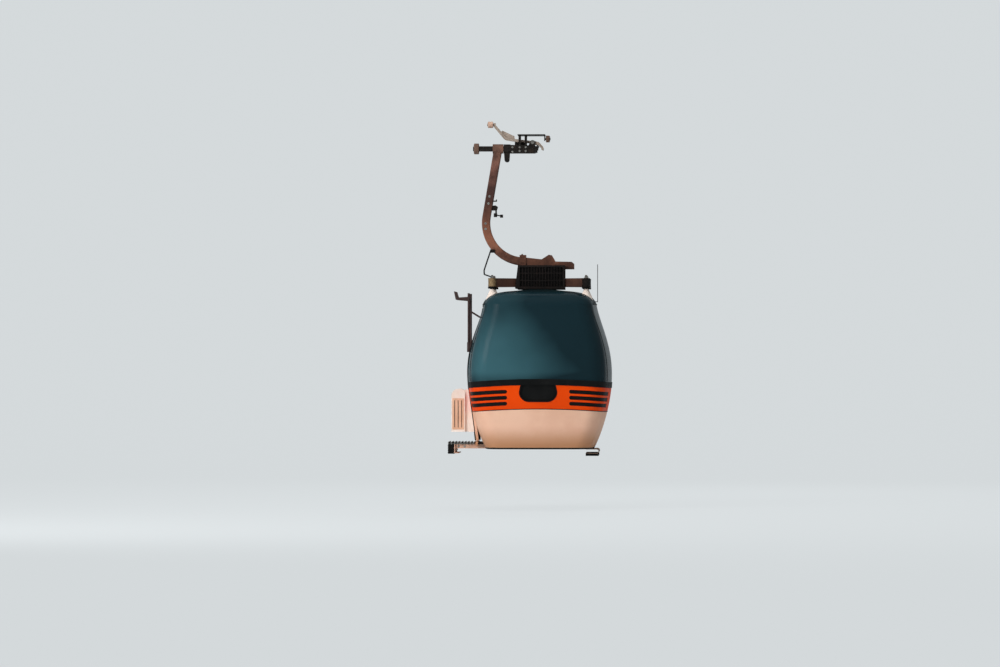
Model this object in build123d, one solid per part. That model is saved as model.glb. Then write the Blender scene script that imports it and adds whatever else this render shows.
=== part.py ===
# Eight-seat cable car cabin with its hanger arm and its detachable rope grip.
# Millimetres, Z up. Y runs along the rope, X across it, and the door is on the -X side.
# The origin is the centre of the rope in the jaws of the grip.
from build123d import *
import os
from math import cos, hypot, radians, sin, sqrt

os.makedirs("parts", exist_ok=True)

# Rope and grip
rope_radius = 22.5
jaw_length = 220
jaw_wall = 28
shaft_radius = 35.5
running_fit = 0.05
side_play = 5
journal_radius = 22
boss_radius = 60
cheek_gap = 60
cheek_wall = 22
pivot_x = -95
pivot_z = 85
pivot_pin_radius = 14
lever_width = 36
lever_depth = 44
roller_pin_radius = 12

# Hanger
head_x = -550
head_length = 140
head_radius = 62
arm_width = 110
arm_depth = 80
arm_round = 18
arm_lean = 9.7
arm_straight = 905
arm_bend_radius = 510
beam_drop = 157
collar_x = -266
collar_half = 66
collar_lap = 20
beam_end_x = 454

# Cabin levels, measured up from the cabin's bottom edge
cabin_bottom = -3951
flange_top = 21
pan_top = 85
mat_height = 5
glass_bottom = 918
band_top = 840
band_bottom = 528
arch_sag = 45
arch_half = 953
crease = 1895
glass_rail = 45

# Cabin walls
wall = 40
pane = 8
pane_inset = 2
roof_wall = 30
gasket_proud = 6
end_bulge_radius = 4570
side_bulge_radius = 4800
panel_gap = 4
split_y = 720

post_half = 35
jamb_width = 50
strip_y = 600

# Doors
door_half = 430
door_seal = 16
leaf_gap = 6
leaf_bottom = 105
leaf_top = 1850
leaf_play = 12
leaf_wall = 38
leaf_stile = 45
swing_arm = 280
arm_rest_angle = 88
pillar_x = -690
pillar_y = 385
pillar_radius = 18
pillar_pin_radius = 7
leaf_pin_radius = 8
arm_bar = 30
arm_thick = 16
upper_arm_level = 1790
lower_arm_level = 140

REACH = 1300
DOOR_INSIDE = -800


def level(height):
    """Z of a height above the cabin's bottom edge."""
    return cabin_bottom + height


def block(x_low, x_high, y_low, y_high, z_low, z_high):
    """Box between three pairs of planes."""
    centre = Pos((x_low + x_high) / 2, (y_low + y_high) / 2, (z_low + z_high) / 2)
    return centre * Box(x_high - x_low, y_high - y_low, z_high - z_low)


def rod(start, end, radius):
    """Round bar from one point to another."""
    way = Vector(*end) - Vector(*start)
    return Solid.make_cylinder(radius, way.length, Plane(origin=start, z_dir=way))


def ring(start, end, radius, bore):
    """Round bar with a hole along it."""
    return rod(start, end, radius) - rod(start, end, bore)


def along_rope(outline, half_depth, middle=0):
    """Thick plate from an outline drawn in X and Z, half_depth each way from Y = middle."""
    plate = extrude(Plane.XZ * outline, amount=half_depth, both=True)
    return Pos(0, middle, 0) * plate


def across_rope(outline, x_low, x_high):
    """Thick plate from an outline drawn in Y and Z, between two X planes."""
    return Pos(x_low, 0, 0) * extrude(Plane.YZ * outline, amount=x_high - x_low)


def polygon(*points):
    return make_face(Polyline(*points, close=True))


# Plan sections of the cabin. The end and side faces are long arcs, joined by tangent corner arcs.
# Columns: height, half width, half length, corner radius
BODY_SECTIONS = [
    (0, 715, 850, 230),
    (242, 818, 925, 240),
    (564, 907, 1005, 255),
    (956, 953, 1050, 260),
    (1398, 896, 1000, 250),
    (crease, 750, 865, 230),
]
# The door's skirt hangs straighter than the wall beside it
DOOR_SECTIONS = [
    (0, 838, 850, 230),
    (242, 866, 925, 240),
    (564, 910, 1005, 255),
    (956, 953, 1050, 260),
    (1398, 896, 1000, 250),
    (crease, 750, 865, 230),
]
ROOF_SECTIONS = [
    (crease, 750, 865, 230),
    (1965, 712, 820, 220),
    (2022, 630, 735, 205),
    (2066, 430, 540, 170),
    (2095, 170, 260, 100),
]


def plan_wire(height, half_width, half_length, corner_radius, inset):
    """Closed plan outline, moved inwards by inset with every centre kept."""
    end_centre = (0, half_length - end_bulge_radius)
    side_centre = (half_width - side_bulge_radius, 0)
    end_reach = end_bulge_radius - corner_radius
    side_reach = side_bulge_radius - corner_radius
    apart = hypot(side_centre[0], end_centre[1])
    along = (end_reach**2 - side_reach**2 + apart**2) / (2 * apart)
    aside = sqrt(end_reach**2 - along**2)
    unit_x = side_centre[0] / apart
    unit_y = -end_centre[1] / apart
    corner_x = along * unit_x + aside * unit_y
    corner_y = end_centre[1] + along * unit_y - aside * unit_x
    radius = corner_radius - inset
    end_x = corner_x + radius * corner_x / end_reach
    end_y = corner_y + radius * (corner_y - end_centre[1]) / end_reach
    side_x = corner_x + radius * (corner_x - side_centre[0]) / side_reach
    side_y = corner_y + radius * corner_y / side_reach
    middle_x = (end_x + side_x) / 2 - corner_x
    middle_y = (end_y + side_y) / 2 - corner_y
    stretch = radius / hypot(middle_x, middle_y)
    bend_x = corner_x + middle_x * stretch
    bend_y = corner_y + middle_y * stretch
    z = level(height)
    quarters = [(1, 1), (-1, 1), (-1, -1), (1, -1)]
    corners = []
    for sx, sy in quarters:
        side = (sx * side_x, sy * side_y, z)
        bend = (sx * bend_x, sy * bend_y, z)
        end = (sx * end_x, sy * end_y, z)
        corners.append((side, bend, end) if sx == sy else (end, bend, side))
    middles = [
        (0, half_length - inset, z),
        (-(half_width - inset), 0, z),
        (0, -(half_length - inset), z),
        (half_width - inset, 0, z),
    ]
    edges = []
    for index, (first, bend, last) in enumerate(corners):
        following = corners[(index + 1) % 4][0]
        edges.append(Edge.make_three_point_arc(first, bend, last))
        edges.append(Edge.make_three_point_arc(last, middles[index], following))
    return Wire(edges)


def loft_of(sections, inset):
    return Solid.make_loft([plan_wire(*section, inset) for section in sections])


SOLIDS = {}


def form(name, inset):
    """The body, door or roof form, moved inwards by inset."""
    sections = {"body": BODY_SECTIONS, "door": DOOR_SECTIONS, "roof": ROOF_SECTIONS}[name]
    if (name, inset) not in SOLIDS:
        SOLIDS[name, inset] = loft_of(sections, inset)
    return SOLIDS[name, inset]


def skin(name, outer, inner):
    """The layer of a form between two insets."""
    if (name, outer, inner) not in SOLIDS:
        SOLIDS[name, outer, inner] = form(name, outer) - form(name, inner)
    return SOLIDS[name, outer, inner]


def cut_skin(name, outer, inner, outline, region):
    """The part of a layer inside an outline drawn in X and Z and inside a region in plan."""
    return skin(name, outer, inner) & (along_rope(outline, REACH) & region)


def arch_z(height, x):
    """Z of a moulding line that sags towards the cabin's sides."""
    return level(height) - arch_sag * (x / arch_half) ** 2


def arch_edge(height, x_from, x_to):
    middle = (x_from + x_to) / 2
    return ThreePointArc(
        (x_from, arch_z(height, x_from)), (middle, arch_z(height, middle)), (x_to, arch_z(height, x_to))
    )


def between_arches(low, high, x_from=-REACH, x_to=REACH):
    """Outline between two sagging moulding lines."""
    return make_face(
        [
            arch_edge(low, x_from, x_to),
            Line((x_to, arch_z(low, x_to)), (x_to, arch_z(high, x_to))),
            arch_edge(high, x_to, x_from),
            Line((x_from, arch_z(high, x_from)), (x_from, arch_z(low, x_from))),
        ]
    )


def under_arch(bottom, high):
    """Outline from a level floor line up to a sagging moulding line."""
    return make_face(
        [
            Line((-REACH, level(bottom)), (REACH, level(bottom))),
            Line((REACH, level(bottom)), (REACH, arch_z(high, REACH))),
            arch_edge(high, REACH, -REACH),
            Line((-REACH, arch_z(high, -REACH)), (-REACH, level(bottom))),
        ]
    )


def over_arch(low, top):
    """Outline from a sagging moulding line up to a level line."""
    return make_face(
        [
            arch_edge(low, -REACH, REACH),
            Line((REACH, arch_z(low, REACH)), (REACH, level(top))),
            Line((REACH, level(top)), (-REACH, level(top))),
            Line((-REACH, level(top)), (-REACH, arch_z(low, -REACH))),
        ]
    )


NODES = {}


def keep(name, *shapes):
    """File one node; its shapes stay separate solids."""
    NODES[name] = [solid for shape in shapes for solid in shape.solids()]


def other_end(*shapes):
    """The same shapes at the cabin's other end."""
    return [mirror(shape, about=Plane.XZ) for shape in shapes]


def keep_both_ends(front_name, rear_name, *shapes):
    keep(front_name, *shapes)
    keep(rear_name, *other_end(*shapes))


def keep_pairs(name, *shapes):
    """File one node that holds the shapes of both ends."""
    keep(name, *shapes, *other_end(*shapes))


# Regions of the cabin's wall in plan, for the front half
half_gap = panel_gap / 2
door_edge = door_half + door_seal
low_z = level(-60)
high_z = level(2200)
end_region = block(-REACH, REACH, -REACH, -split_y - half_gap, low_z, high_z)
side_region = block(0, REACH, -split_y + half_gap, split_y - half_gap, low_z, high_z)
beside_door = block(-REACH, 0, -split_y + half_gap, -door_edge, low_z, high_z)
leaf_region = block(-REACH, 0, -door_half, -leaf_gap / 2, low_z, high_z)
ENDS = (-1, 1)


# Cabin shell: cream lower panels, orange band, gasket, panes, window frame and roof
bar_height = 50
bar_pitch = 78
top_bar_level = 762
bar_inner_x = 404
bar_depth = 14
bar_recess = 5
bar_end_y = 490
recess_top_half = 228
recess_half = 250
recess_bottom = 618
recess_corner = 132
recess_depth = 34
recess_lip = 5
recess_rim = 14
recess_floor = 8


def bar_outline(index, side):
    """One vent slot: it follows the moulding line and its inner end is round."""
    middle = top_bar_level - index * bar_pitch
    low = middle - bar_height / 2
    high = middle + bar_height / 2
    inner = side * (bar_inner_x + bar_height / 2)
    strip = between_arches(low, high, *sorted((inner, side * REACH)))
    return strip + Pos(inner, arch_z(middle, inner)) * Circle(bar_height / 2)


def bar_tool():
    """Cutter for the six slots of the front end, which run round its corners."""
    tool = Part()
    for index in range(3):
        for side in (-1, 1):
            reach = (REACH - bar_end_y) / 2
            tool = tool + along_rope(bar_outline(index, side), reach, -bar_end_y - reach)
    return tool


def recess_outline(shrink):
    """Round-bottomed recess in the middle of the band."""
    top = level(band_top + 12 - shrink)
    low = level(recess_bottom + shrink)
    half_top = recess_top_half - shrink
    half = recess_half - shrink
    radius = recess_corner - shrink
    flat = half - radius
    turn = low + radius
    slant = radius * (1 - cos(radians(45)))
    return make_face(
        [
            Line((-half_top, top), (-half, turn)),
            ThreePointArc((-half, turn), (-half + slant, low + slant), (-flat, low)),
            Line((-flat, low), (flat, low)),
            ThreePointArc((flat, low), (half - slant, low + slant), (half, turn)),
            Line((half, turn), (half_top, top)),
            Line((half_top, top), (-half_top, top)),
        ]
    )


def build_panels():
    lower = under_arch(flange_top, band_bottom - half_gap)
    band = between_arches(band_bottom + half_gap, band_top)
    keep_both_ends("front_lower_panel", "rear_lower_panel", cut_skin("body", 0, wall, lower, end_region))
    keep("side_lower_panel", cut_skin("body", 0, wall, lower, side_region))
    keep_pairs("door_side_lower_panels", cut_skin("body", 0, wall, lower, beside_door))

    # Band with its vent slots, and the round-bottomed recess at each end
    slots = bar_tool()
    grooves = slots - form("body", bar_depth)
    side_band = cut_skin("body", 0, wall, band, side_region) - grooves
    keep("side_band_panel", side_band - other_end(grooves)[0])
    keep_pairs("door_side_band_panels", cut_skin("body", 0, wall, band, beside_door) - grooves)
    dish_cut = along_rope(recess_outline(0), REACH / 2, -REACH / 2)
    dish_hollow = along_rope(recess_outline(recess_rim), REACH / 2, -REACH / 2)
    end_band = cut_skin("body", 0, wall, band, end_region)
    end_band = end_band - dish_cut - grooves
    keep_both_ends("front_band_panel", "rear_band_panel", end_band)
    keep_pairs("vent_strips", slots & skin("body", bar_recess, bar_depth))
    dish = dish_cut & along_rope(under_arch(0, band_top), REACH)
    dish = dish & skin("body", -recess_lip, recess_depth)
    keep_pairs("end_recesses", dish - (dish_hollow - form("body", recess_depth - recess_floor)))

    gasket = between_arches(band_top, glass_bottom)
    door_way = block(-REACH, 0, -door_edge, door_edge, low_z, high_z)
    around = block(-REACH, REACH, -REACH, REACH, low_z, high_z) - door_way
    keep("waist_gasket", cut_skin("body", -gasket_proud, wall, gasket, around))


def build_window_frame():
    """Ring of the wall with the window openings and the doorway cut out of it."""
    rail_low = level(glass_bottom + glass_rail)
    rail_high = level(crease - glass_rail)
    post_in = split_y - post_half
    post_out = split_y + post_half
    jamb = door_edge + jamb_width
    openings = block(0, REACH, -post_in, post_in, rail_low, rail_high)
    openings = openings + block(-REACH, 0, -door_edge, door_edge, low_z, high_z)
    for sign in ENDS:
        end_rows = sorted((sign * post_out, sign * REACH))
        quarter_rows = sorted((sign * jamb, sign * post_in))
        openings = openings + block(-REACH, REACH, *end_rows, rail_low, rail_high)
        openings = openings + block(-REACH, 0, *quarter_rows, rail_low, rail_high)
    outline = along_rope(over_arch(glass_bottom, crease), REACH) - openings
    keep("window_frame", skin("body", pane_inset + pane, wall) & outline)


bearing_half = 28
bearing_rise = 22
bearing_boss = 30


def build_doorway():
    """Header over the doors with the pillars' upper bearings, and the bearings in the floor."""
    low = level(leaf_top + leaf_play)
    header = skin("body", 0, wall) & block(-REACH, 0, -door_edge, door_edge, low, level(crease))
    lower_bearings = []
    for sign in ENDS:
        y = sign * pillar_y
        plate = block(
            -REACH, pillar_x + 25, y - bearing_half, y + bearing_half, low + 2, low + 2 + arm_thick
        )
        hole = rod((pillar_x, y, low), (pillar_x, y, level(crease)), pillar_pin_radius + running_fit)
        header = header + ((plate & form("body", wall / 2)) - hole)
        foot = (pillar_x, y, level(pan_top))
        top = (pillar_x, y, level(pan_top + bearing_rise))
        lower_bearings.append(ring(foot, top, bearing_boss, pillar_pin_radius + running_fit))
    keep("door_header", header)
    keep("door_bearings", *lower_bearings)


def build_glass():
    """Panes; each end pane bends over the roof's edge."""
    outline = over_arch(glass_bottom, crease)
    inner = pane_inset + pane
    keep("side_window", cut_skin("body", pane_inset, inner, outline, side_region))
    keep_pairs("quarter_windows", cut_skin("body", pane_inset, inner, outline, beside_door))
    strip = block(-REACH, REACH, -REACH, -strip_y, level(crease), high_z)
    end_pane = cut_skin("body", pane_inset, inner, outline, end_region)
    end_pane = end_pane + (skin("roof", pane_inset, inner) & strip)
    keep_both_ends("front_window", "rear_window", end_pane)
    strips = strip + other_end(strip)[0]
    keep("roof_shell", skin("roof", 0, roof_wall) - (skin("roof", -1, inner) & strips))


# Floor pan with its sill at the door, the rubber mat and the seats
sill_x = -805
sill_depth = 25
pan_rib = 40
pan_sheet = 14
pocket_columns = 4
pocket_rows = 4
pocket_half_x = 560
pocket_half_y = 700


def pan_pockets():
    """Pockets that leave a grid of ribs under the floor."""
    tool = Part()
    step_x = 2 * pocket_half_x / pocket_columns
    step_y = 2 * pocket_half_y / pocket_rows
    for column in range(pocket_columns):
        for row in range(pocket_rows):
            x = -pocket_half_x + column * step_x
            y = -pocket_half_y + row * step_y
            tool = tool + block(
                x + pan_rib / 2,
                x + step_x - pan_rib / 2,
                y + pan_rib / 2,
                y + step_y - pan_rib / 2,
                level(-1),
                level(pan_top - pan_sheet),
            )
    return tool


def build_floor():
    flange = form("body", 0) & block(-REACH, REACH, -REACH, REACH, level(0), level(flange_top))
    pan = form("body", wall) & block(-REACH, REACH, -REACH, REACH, level(flange_top), level(pan_top))
    sill_half = door_edge - 10
    sill = block(sill_x, -650, -sill_half, sill_half, level(pan_top - sill_depth), level(pan_top))
    pan = flange + pan + sill - pan_pockets()
    mat = form("body", wall + 2) & block(
        -REACH, REACH, -REACH, REACH, level(pan_top), level(pan_top + mat_height)
    )
    for sign in ENDS:
        foot = (pillar_x, sign * pillar_y, level(pan_top))
        above = (pillar_x, sign * pillar_y, level(pan_top + bearing_rise))
        mat = mat - rod(foot, above, bearing_boss + 2)
    keep("floor_pan", pan)
    keep("floor_mat", mat)


seat_level = 430
seat_thick = 60
seat_front_y = 520
seat_count = 4
seat_pitch = 345
seat_gap = 20
seat_round = 45
back_thick = 45
back_top = 890
back_lift = 25
seat_rail = 30
seat_clear = 0.5
rail_y = (-780, -640)
leg_x = 480
leg_plate = 24


def build_seats():
    """Four single seats at each end, on a rail with two legs."""
    wall_face = form("body", wall + seat_clear)
    back_skin = skin("body", wall + seat_clear, wall + seat_clear + back_thick)
    seats = []
    low = level(seat_level)
    half = (seat_pitch - seat_gap) / 2
    for index in range(seat_count):
        middle = (index - (seat_count - 1) / 2) * seat_pitch
        outline = Pos(middle, -seat_front_y - REACH / 2) * RectangleRounded(2 * half, REACH, seat_round)
        cushion = Pos(0, 0, low) * extrude(outline, amount=seat_thick)
        seats.append(cushion & wall_face)
        back_low = low + seat_thick + back_lift
        back_high = level(back_top)
        face = Pos(middle, (back_low + back_high) / 2) * RectangleRounded(
            2 * half, back_high - back_low, seat_round
        )
        seats.append(back_skin & along_rope(face, REACH / 2, -REACH / 2))
    keep_pairs("seats", *seats)
    reach = seat_pitch * seat_count / 2 - seat_gap
    rail = block(-reach, reach, *rail_y, low - seat_rail, low)
    for x in (-leg_x, leg_x):
        sides = (x - leg_plate / 2, x + leg_plate / 2)
        rail = rail + block(*sides, *rail_y, level(pan_top + mat_height), low - seat_rail)
    keep_pairs("seat_legs", rail & wall_face)


# Running board on the door side and guide shoe on the other
step_outer_x = -1197
step_inner_x = -854
buffer_inner_x = -1115
step_half = 400
grating_top = 87
beam_top = 57
beam_bottom = 4
outrigger_y = 330
outrigger_width = 60
outrigger_inner_x = -650
bracket_plate = 10
bracket_bottom = -60
bracket_lip = 60
buffer_bottom = -66
buffer_drop = 2
grate_bars = 9
grate_bar = 9
tie_width = 16
tie_height = 14


def build_step():
    beam = Part()
    for sign in (-1, 1):
        middle = sign * outrigger_y
        half = outrigger_width / 2
        rows = (middle - half, middle + half)
        beam = beam + block(buffer_inner_x, outrigger_inner_x, *rows, level(beam_bottom), level(beam_top))
    low = level(bracket_bottom)
    rows = (-step_half, step_half)
    bracket = block(buffer_inner_x, buffer_inner_x + bracket_plate, *rows, low, level(beam_top))
    lip = block(buffer_inner_x, buffer_inner_x + bracket_lip, *rows, low, low + bracket_plate)
    beam = beam + bracket + lip
    beam = beam - NODES["floor_pan"][0]
    beam = beam - form("body", wall)
    keep("step_beam", beam)
    keep(
        "step_buffer",
        block(step_outer_x, buffer_inner_x, *rows, level(buffer_bottom), level(beam_top - buffer_drop)),
    )
    grating = Part()
    pitch = (step_inner_x - step_outer_x - grate_bar) / (grate_bars - 1)
    for index in range(grate_bars):
        x = step_outer_x + index * pitch
        grating = grating + block(x, x + grate_bar, *rows, level(beam_top), level(grating_top))
    for y in (-outrigger_y, 0, outrigger_y):
        tie_rows = (y - tie_width / 2, y + tie_width / 2)
        tie_top = level(beam_top + tie_height)
        grating = grating + block(step_outer_x, step_inner_x, *tie_rows, level(beam_top), tie_top)
    keep("step_grating", grating)


shoe_inner_x = 611
shoe_outer_x = 788
shoe_plate = 8
shoe_bottom = -92
shoe_rubber = 30
rubber_inset = 9
shoe_half = 450


def build_guide_shoe():
    low = level(shoe_bottom + shoe_rubber)
    high = level(0)
    bend = (high - low) / 2
    turn_x = shoe_outer_x - bend
    outer = make_face(
        [
            Line((shoe_inner_x, high), (turn_x, high)),
            ThreePointArc((turn_x, high), (shoe_outer_x, high - bend), (turn_x, low)),
            Line((turn_x, low), (shoe_inner_x, low)),
            Line((shoe_inner_x, low), (shoe_inner_x, low + shoe_plate)),
            Line((shoe_inner_x, low + shoe_plate), (turn_x, low + shoe_plate)),
            ThreePointArc(
                (turn_x, low + shoe_plate),
                (shoe_outer_x - shoe_plate, high - bend),
                (turn_x, high - shoe_plate),
            ),
            Line((turn_x, high - shoe_plate), (shoe_inner_x, high - shoe_plate)),
            Line((shoe_inner_x, high - shoe_plate), (shoe_inner_x, high)),
        ]
    )
    keep("guide_shoe", along_rope(outer, shoe_half))
    keep(
        "guide_rubber",
        block(shoe_inner_x, shoe_outer_x - rubber_inset, -shoe_half, shoe_half, level(shoe_bottom), low),
    )


# Door leaves with their swing arms, ski baskets and ski combs
pin_x = pillar_x - swing_arm * cos(radians(arm_rest_angle))
pin_y = -pillar_y + swing_arm * sin(radians(arm_rest_angle))
eye_play = 6


def leaf_lug(arm_level):
    """Bracket inside a leaf, with the pin that hangs from it through the arm's eye."""
    low = level(arm_level + arm_thick / 2 + eye_play)
    high = low + 10
    plate = block(-REACH, pin_x + 18, pin_y - 22, pin_y + 22, low, high) & form("door", leaf_wall / 2)
    pin_low = level(arm_level - arm_thick / 2 - 4)
    return plate + rod((pin_x, pin_y, pin_low), (pin_x, pin_y, high), leaf_pin_radius)


def build_leaf():
    skirt = cut_skin("door", 0, leaf_wall, under_arch(leaf_bottom, band_bottom - half_gap), leaf_region)
    band = cut_skin("door", 0, leaf_wall, between_arches(band_bottom + half_gap, band_top), leaf_region)
    sash = cut_skin("door", 0, leaf_wall, between_arches(band_top, glass_bottom), leaf_region)
    glazed = over_arch(glass_bottom, leaf_top)
    pane_inner = pane_inset + pane
    stile = block(
        -REACH,
        0,
        -door_half + leaf_stile,
        -leaf_gap / 2 - leaf_stile,
        level(glass_bottom + glass_rail),
        level(leaf_top - leaf_stile),
    )
    sash = sash + (cut_skin("door", pane_inner, leaf_wall, glazed, leaf_region) - stile)
    glass = cut_skin("door", pane_inset, pane_inner, glazed, leaf_region)
    keep_both_ends("door_frame_front", "door_frame_rear", sash + leaf_lug(upper_arm_level))
    keep_both_ends("door_skirt_front", "door_skirt_rear", skirt + leaf_lug(lower_arm_level))
    keep_both_ends("door_band_front", "door_band_rear", band)
    keep_both_ends("door_window_front", "door_window_rear", glass)


def build_door_arm():
    """Pillar that turns in the floor and the header, with one arm at each end."""
    y = -pillar_y
    shoulder = upper_arm_level + arm_thick / 2 + 4
    arm = rod((pillar_x, y, level(pan_top + 24)), (pillar_x, y, level(shoulder)), pillar_radius)
    arm = arm + rod(
        (pillar_x, y, level(pan_top + 2)), (pillar_x, y, level(leaf_top + 25)), pillar_pin_radius
    )
    reach = Vector(pin_x - pillar_x, pin_y - y, 0)
    for height in (upper_arm_level, lower_arm_level):
        place = Plane(origin=(pillar_x, y, level(height)), x_dir=reach, z_dir=(0, 0, 1))
        arm = arm + place * (Pos(reach.length / 2, 0, 0) * Box(reach.length, arm_bar, arm_thick))
        eye_low = (pin_x, pin_y, level(height - arm_thick / 2))
        eye_high = (pin_x, pin_y, level(height + arm_thick / 2))
        arm = arm + rod(eye_low, eye_high, arm_bar / 2 + 3)
        arm = arm - rod(eye_low, eye_high, leaf_pin_radius + running_fit)
    keep_both_ends("door_arm_front", "door_arm_rear", arm)


basket_outer_x = -1154
basket_inner_x = -975
basket_top = 786
basket_bottom = 222
basket_half = 150
basket_sheet = 8
basket_slots = 3
slot_pitch = 46
slot_length = 356
slot_width = 20
slot_rise = 235
divider_height = 260
divider_pitch = 75
basket_back = 460
basket_lip = 200
basket_bracket = 10
bracket_y = 110


def build_ski_basket():
    """Ski basket: slotted end plates with round heads, a back, a front lip, floor and dividers."""
    middle_y = -(door_half + leaf_gap / 2) / 2
    half = (basket_inner_x - basket_outer_x) / 2
    centre_x = (basket_inner_x + basket_outer_x) / 2
    top = level(basket_top)
    low = level(basket_bottom)
    plate = Pos(centre_x, (top - half + low) / 2) * Rectangle(2 * half, top - half - low)
    plate = plate + Pos(centre_x, top - half) * Circle(half)
    for index in range(basket_slots):
        x = centre_x + (index - (basket_slots - 1) / 2) * slot_pitch
        plate = plate - Pos(x, low + slot_rise) * SlotOverall(slot_length, slot_width, rotation=90)
    divider = Pos(centre_x, low + divider_height / 2) * Rectangle(2 * half, divider_height)
    basket = Part()
    for y in (-basket_half, basket_half):
        basket = basket + along_rope(plate, basket_sheet / 2, middle_y + y)
    for y in (-divider_pitch, 0, divider_pitch):
        basket = basket + along_rope(divider, basket_sheet / 2, middle_y + y)
    rows = (middle_y - basket_half, middle_y + basket_half)
    basket = basket + block(basket_outer_x, basket_inner_x, *rows, low, low + basket_sheet)
    basket = basket + block(basket_inner_x - basket_sheet, basket_inner_x, *rows, low, low + basket_back)
    basket = basket + block(basket_outer_x, basket_outer_x + basket_sheet, *rows, low, low + basket_lip)
    for y in (middle_y - bracket_y, middle_y + bracket_y):
        rows = (y - basket_bracket / 2, y + basket_bracket / 2)
        bracket = block(basket_inner_x, DOOR_INSIDE, *rows, low, top - basket_sheet)
        basket = basket + (bracket - form("door", 0))
    keep_both_ends("ski_basket_front", "ski_basket_rear", basket)


post_x = -925
post_radius = 15
post_top = 2042
post_joint = 1398
post_foot = 1269
sleeve_radius = 22
comb_level = 1969
comb_tip_x = -1114
comb_tip_top = 2065
comb_prongs = 5
comb_inner_y = -34
prong_width = 10
comb_bar = 28
post_inset = 30
pad_width = 32
link_from = 1812
link_to = (-780, 1722)
link_radius = 7
prong_root = 26


def build_ski_comb():
    """Post on the leaf's outer stile with a comb of upturned prongs that parts the skis."""
    post_y = -door_half + post_inset
    shell = form("door", pane_inset)
    post = rod((post_x, post_y, level(post_joint)), (post_x, post_y, level(post_top)), post_radius)
    sleeve = rod((post_x, post_y, level(post_foot)), (post_x, post_y, level(post_joint)), sleeve_radius)
    rows = (post_y - pad_width / 2, post_y + pad_width / 2)
    pad = block(post_x, DOOR_INSIDE, *rows, level(post_foot), level(post_joint)) - shell
    link_end = (link_to[0], post_y, level(link_to[1]))
    link = rod((post_x, post_y, level(link_from)), link_end, link_radius) - shell
    bar_levels = (level(comb_level - comb_bar / 2), level(comb_level + comb_bar / 2))
    bar = block(post_x - prong_root, post_x, post_y, comb_inner_y, *bar_levels)
    prong = polygon(
        (post_x - 5, level(comb_level + prong_root)),
        (post_x - 5, level(comb_level - prong_root)),
        (-1096, level(comb_level - 12)),
        (comb_tip_x - 6, level(comb_tip_top)),
        (comb_tip_x + 10, level(comb_tip_top)),
        (-1080, level(comb_level + 16)),
    )
    comb = post + (sleeve - shell) + pad + link + bar
    pitch = (comb_inner_y - post_y - prong_width) / (comb_prongs - 1)
    for index in range(comb_prongs):
        middle = comb_inner_y - prong_width / 2 - index * pitch
        comb = comb + along_rope(prong, prong_width / 2, middle)
    keep_both_ends("ski_comb_front", "ski_comb_rear", comb)


# Hanger: curved arm with its head, beam, suspension frame, dampers and feet
def arm_centreline():
    """Straight run down from the head, then an arc that ends level."""
    lean = radians(arm_lean)
    end = (head_x - arm_straight * sin(lean), -arm_straight * cos(lean))
    straight = Line((head_x, 0), end)
    bend = JernArc(end, (-sin(lean), -cos(lean)), arm_bend_radius, 90 + arm_lean)
    return straight, bend


straight_run, bend_run = arm_centreline()
arm_end_x = (bend_run @ 1).X
beam_axis_z = (bend_run @ 1).Y
beam_top_z = beam_axis_z + arm_width / 2
beam_bottom_z = beam_top_z - beam_drop
cage_middle_x = 25
cage_half_x = 308
cage_half_y = 290
cage_top_z = -1540
cage_bottom_z = -1847
cage_bar = 25
cage_flare = 38
mesh_bars = 14
mesh_bar = 10
mesh_depth = 8
mesh_rail = 80
beam_side = 14
collar_rise = 32
head_inset = 2
core_x = (-130, 180)
core_half_y = 100
crossbeam_width = 50
spindle_radius = 13
spindle_rise = 41
cross_top_z = -1712
cross_bottom_z = cage_bottom_z + cage_bar
damper_x = 616
damper_y = 430
housing_radius = 50
foot_base = 1950
foot_radius = 90
foot_neck = 22
rubber_radius = 48
rubber_height = 28


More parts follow.
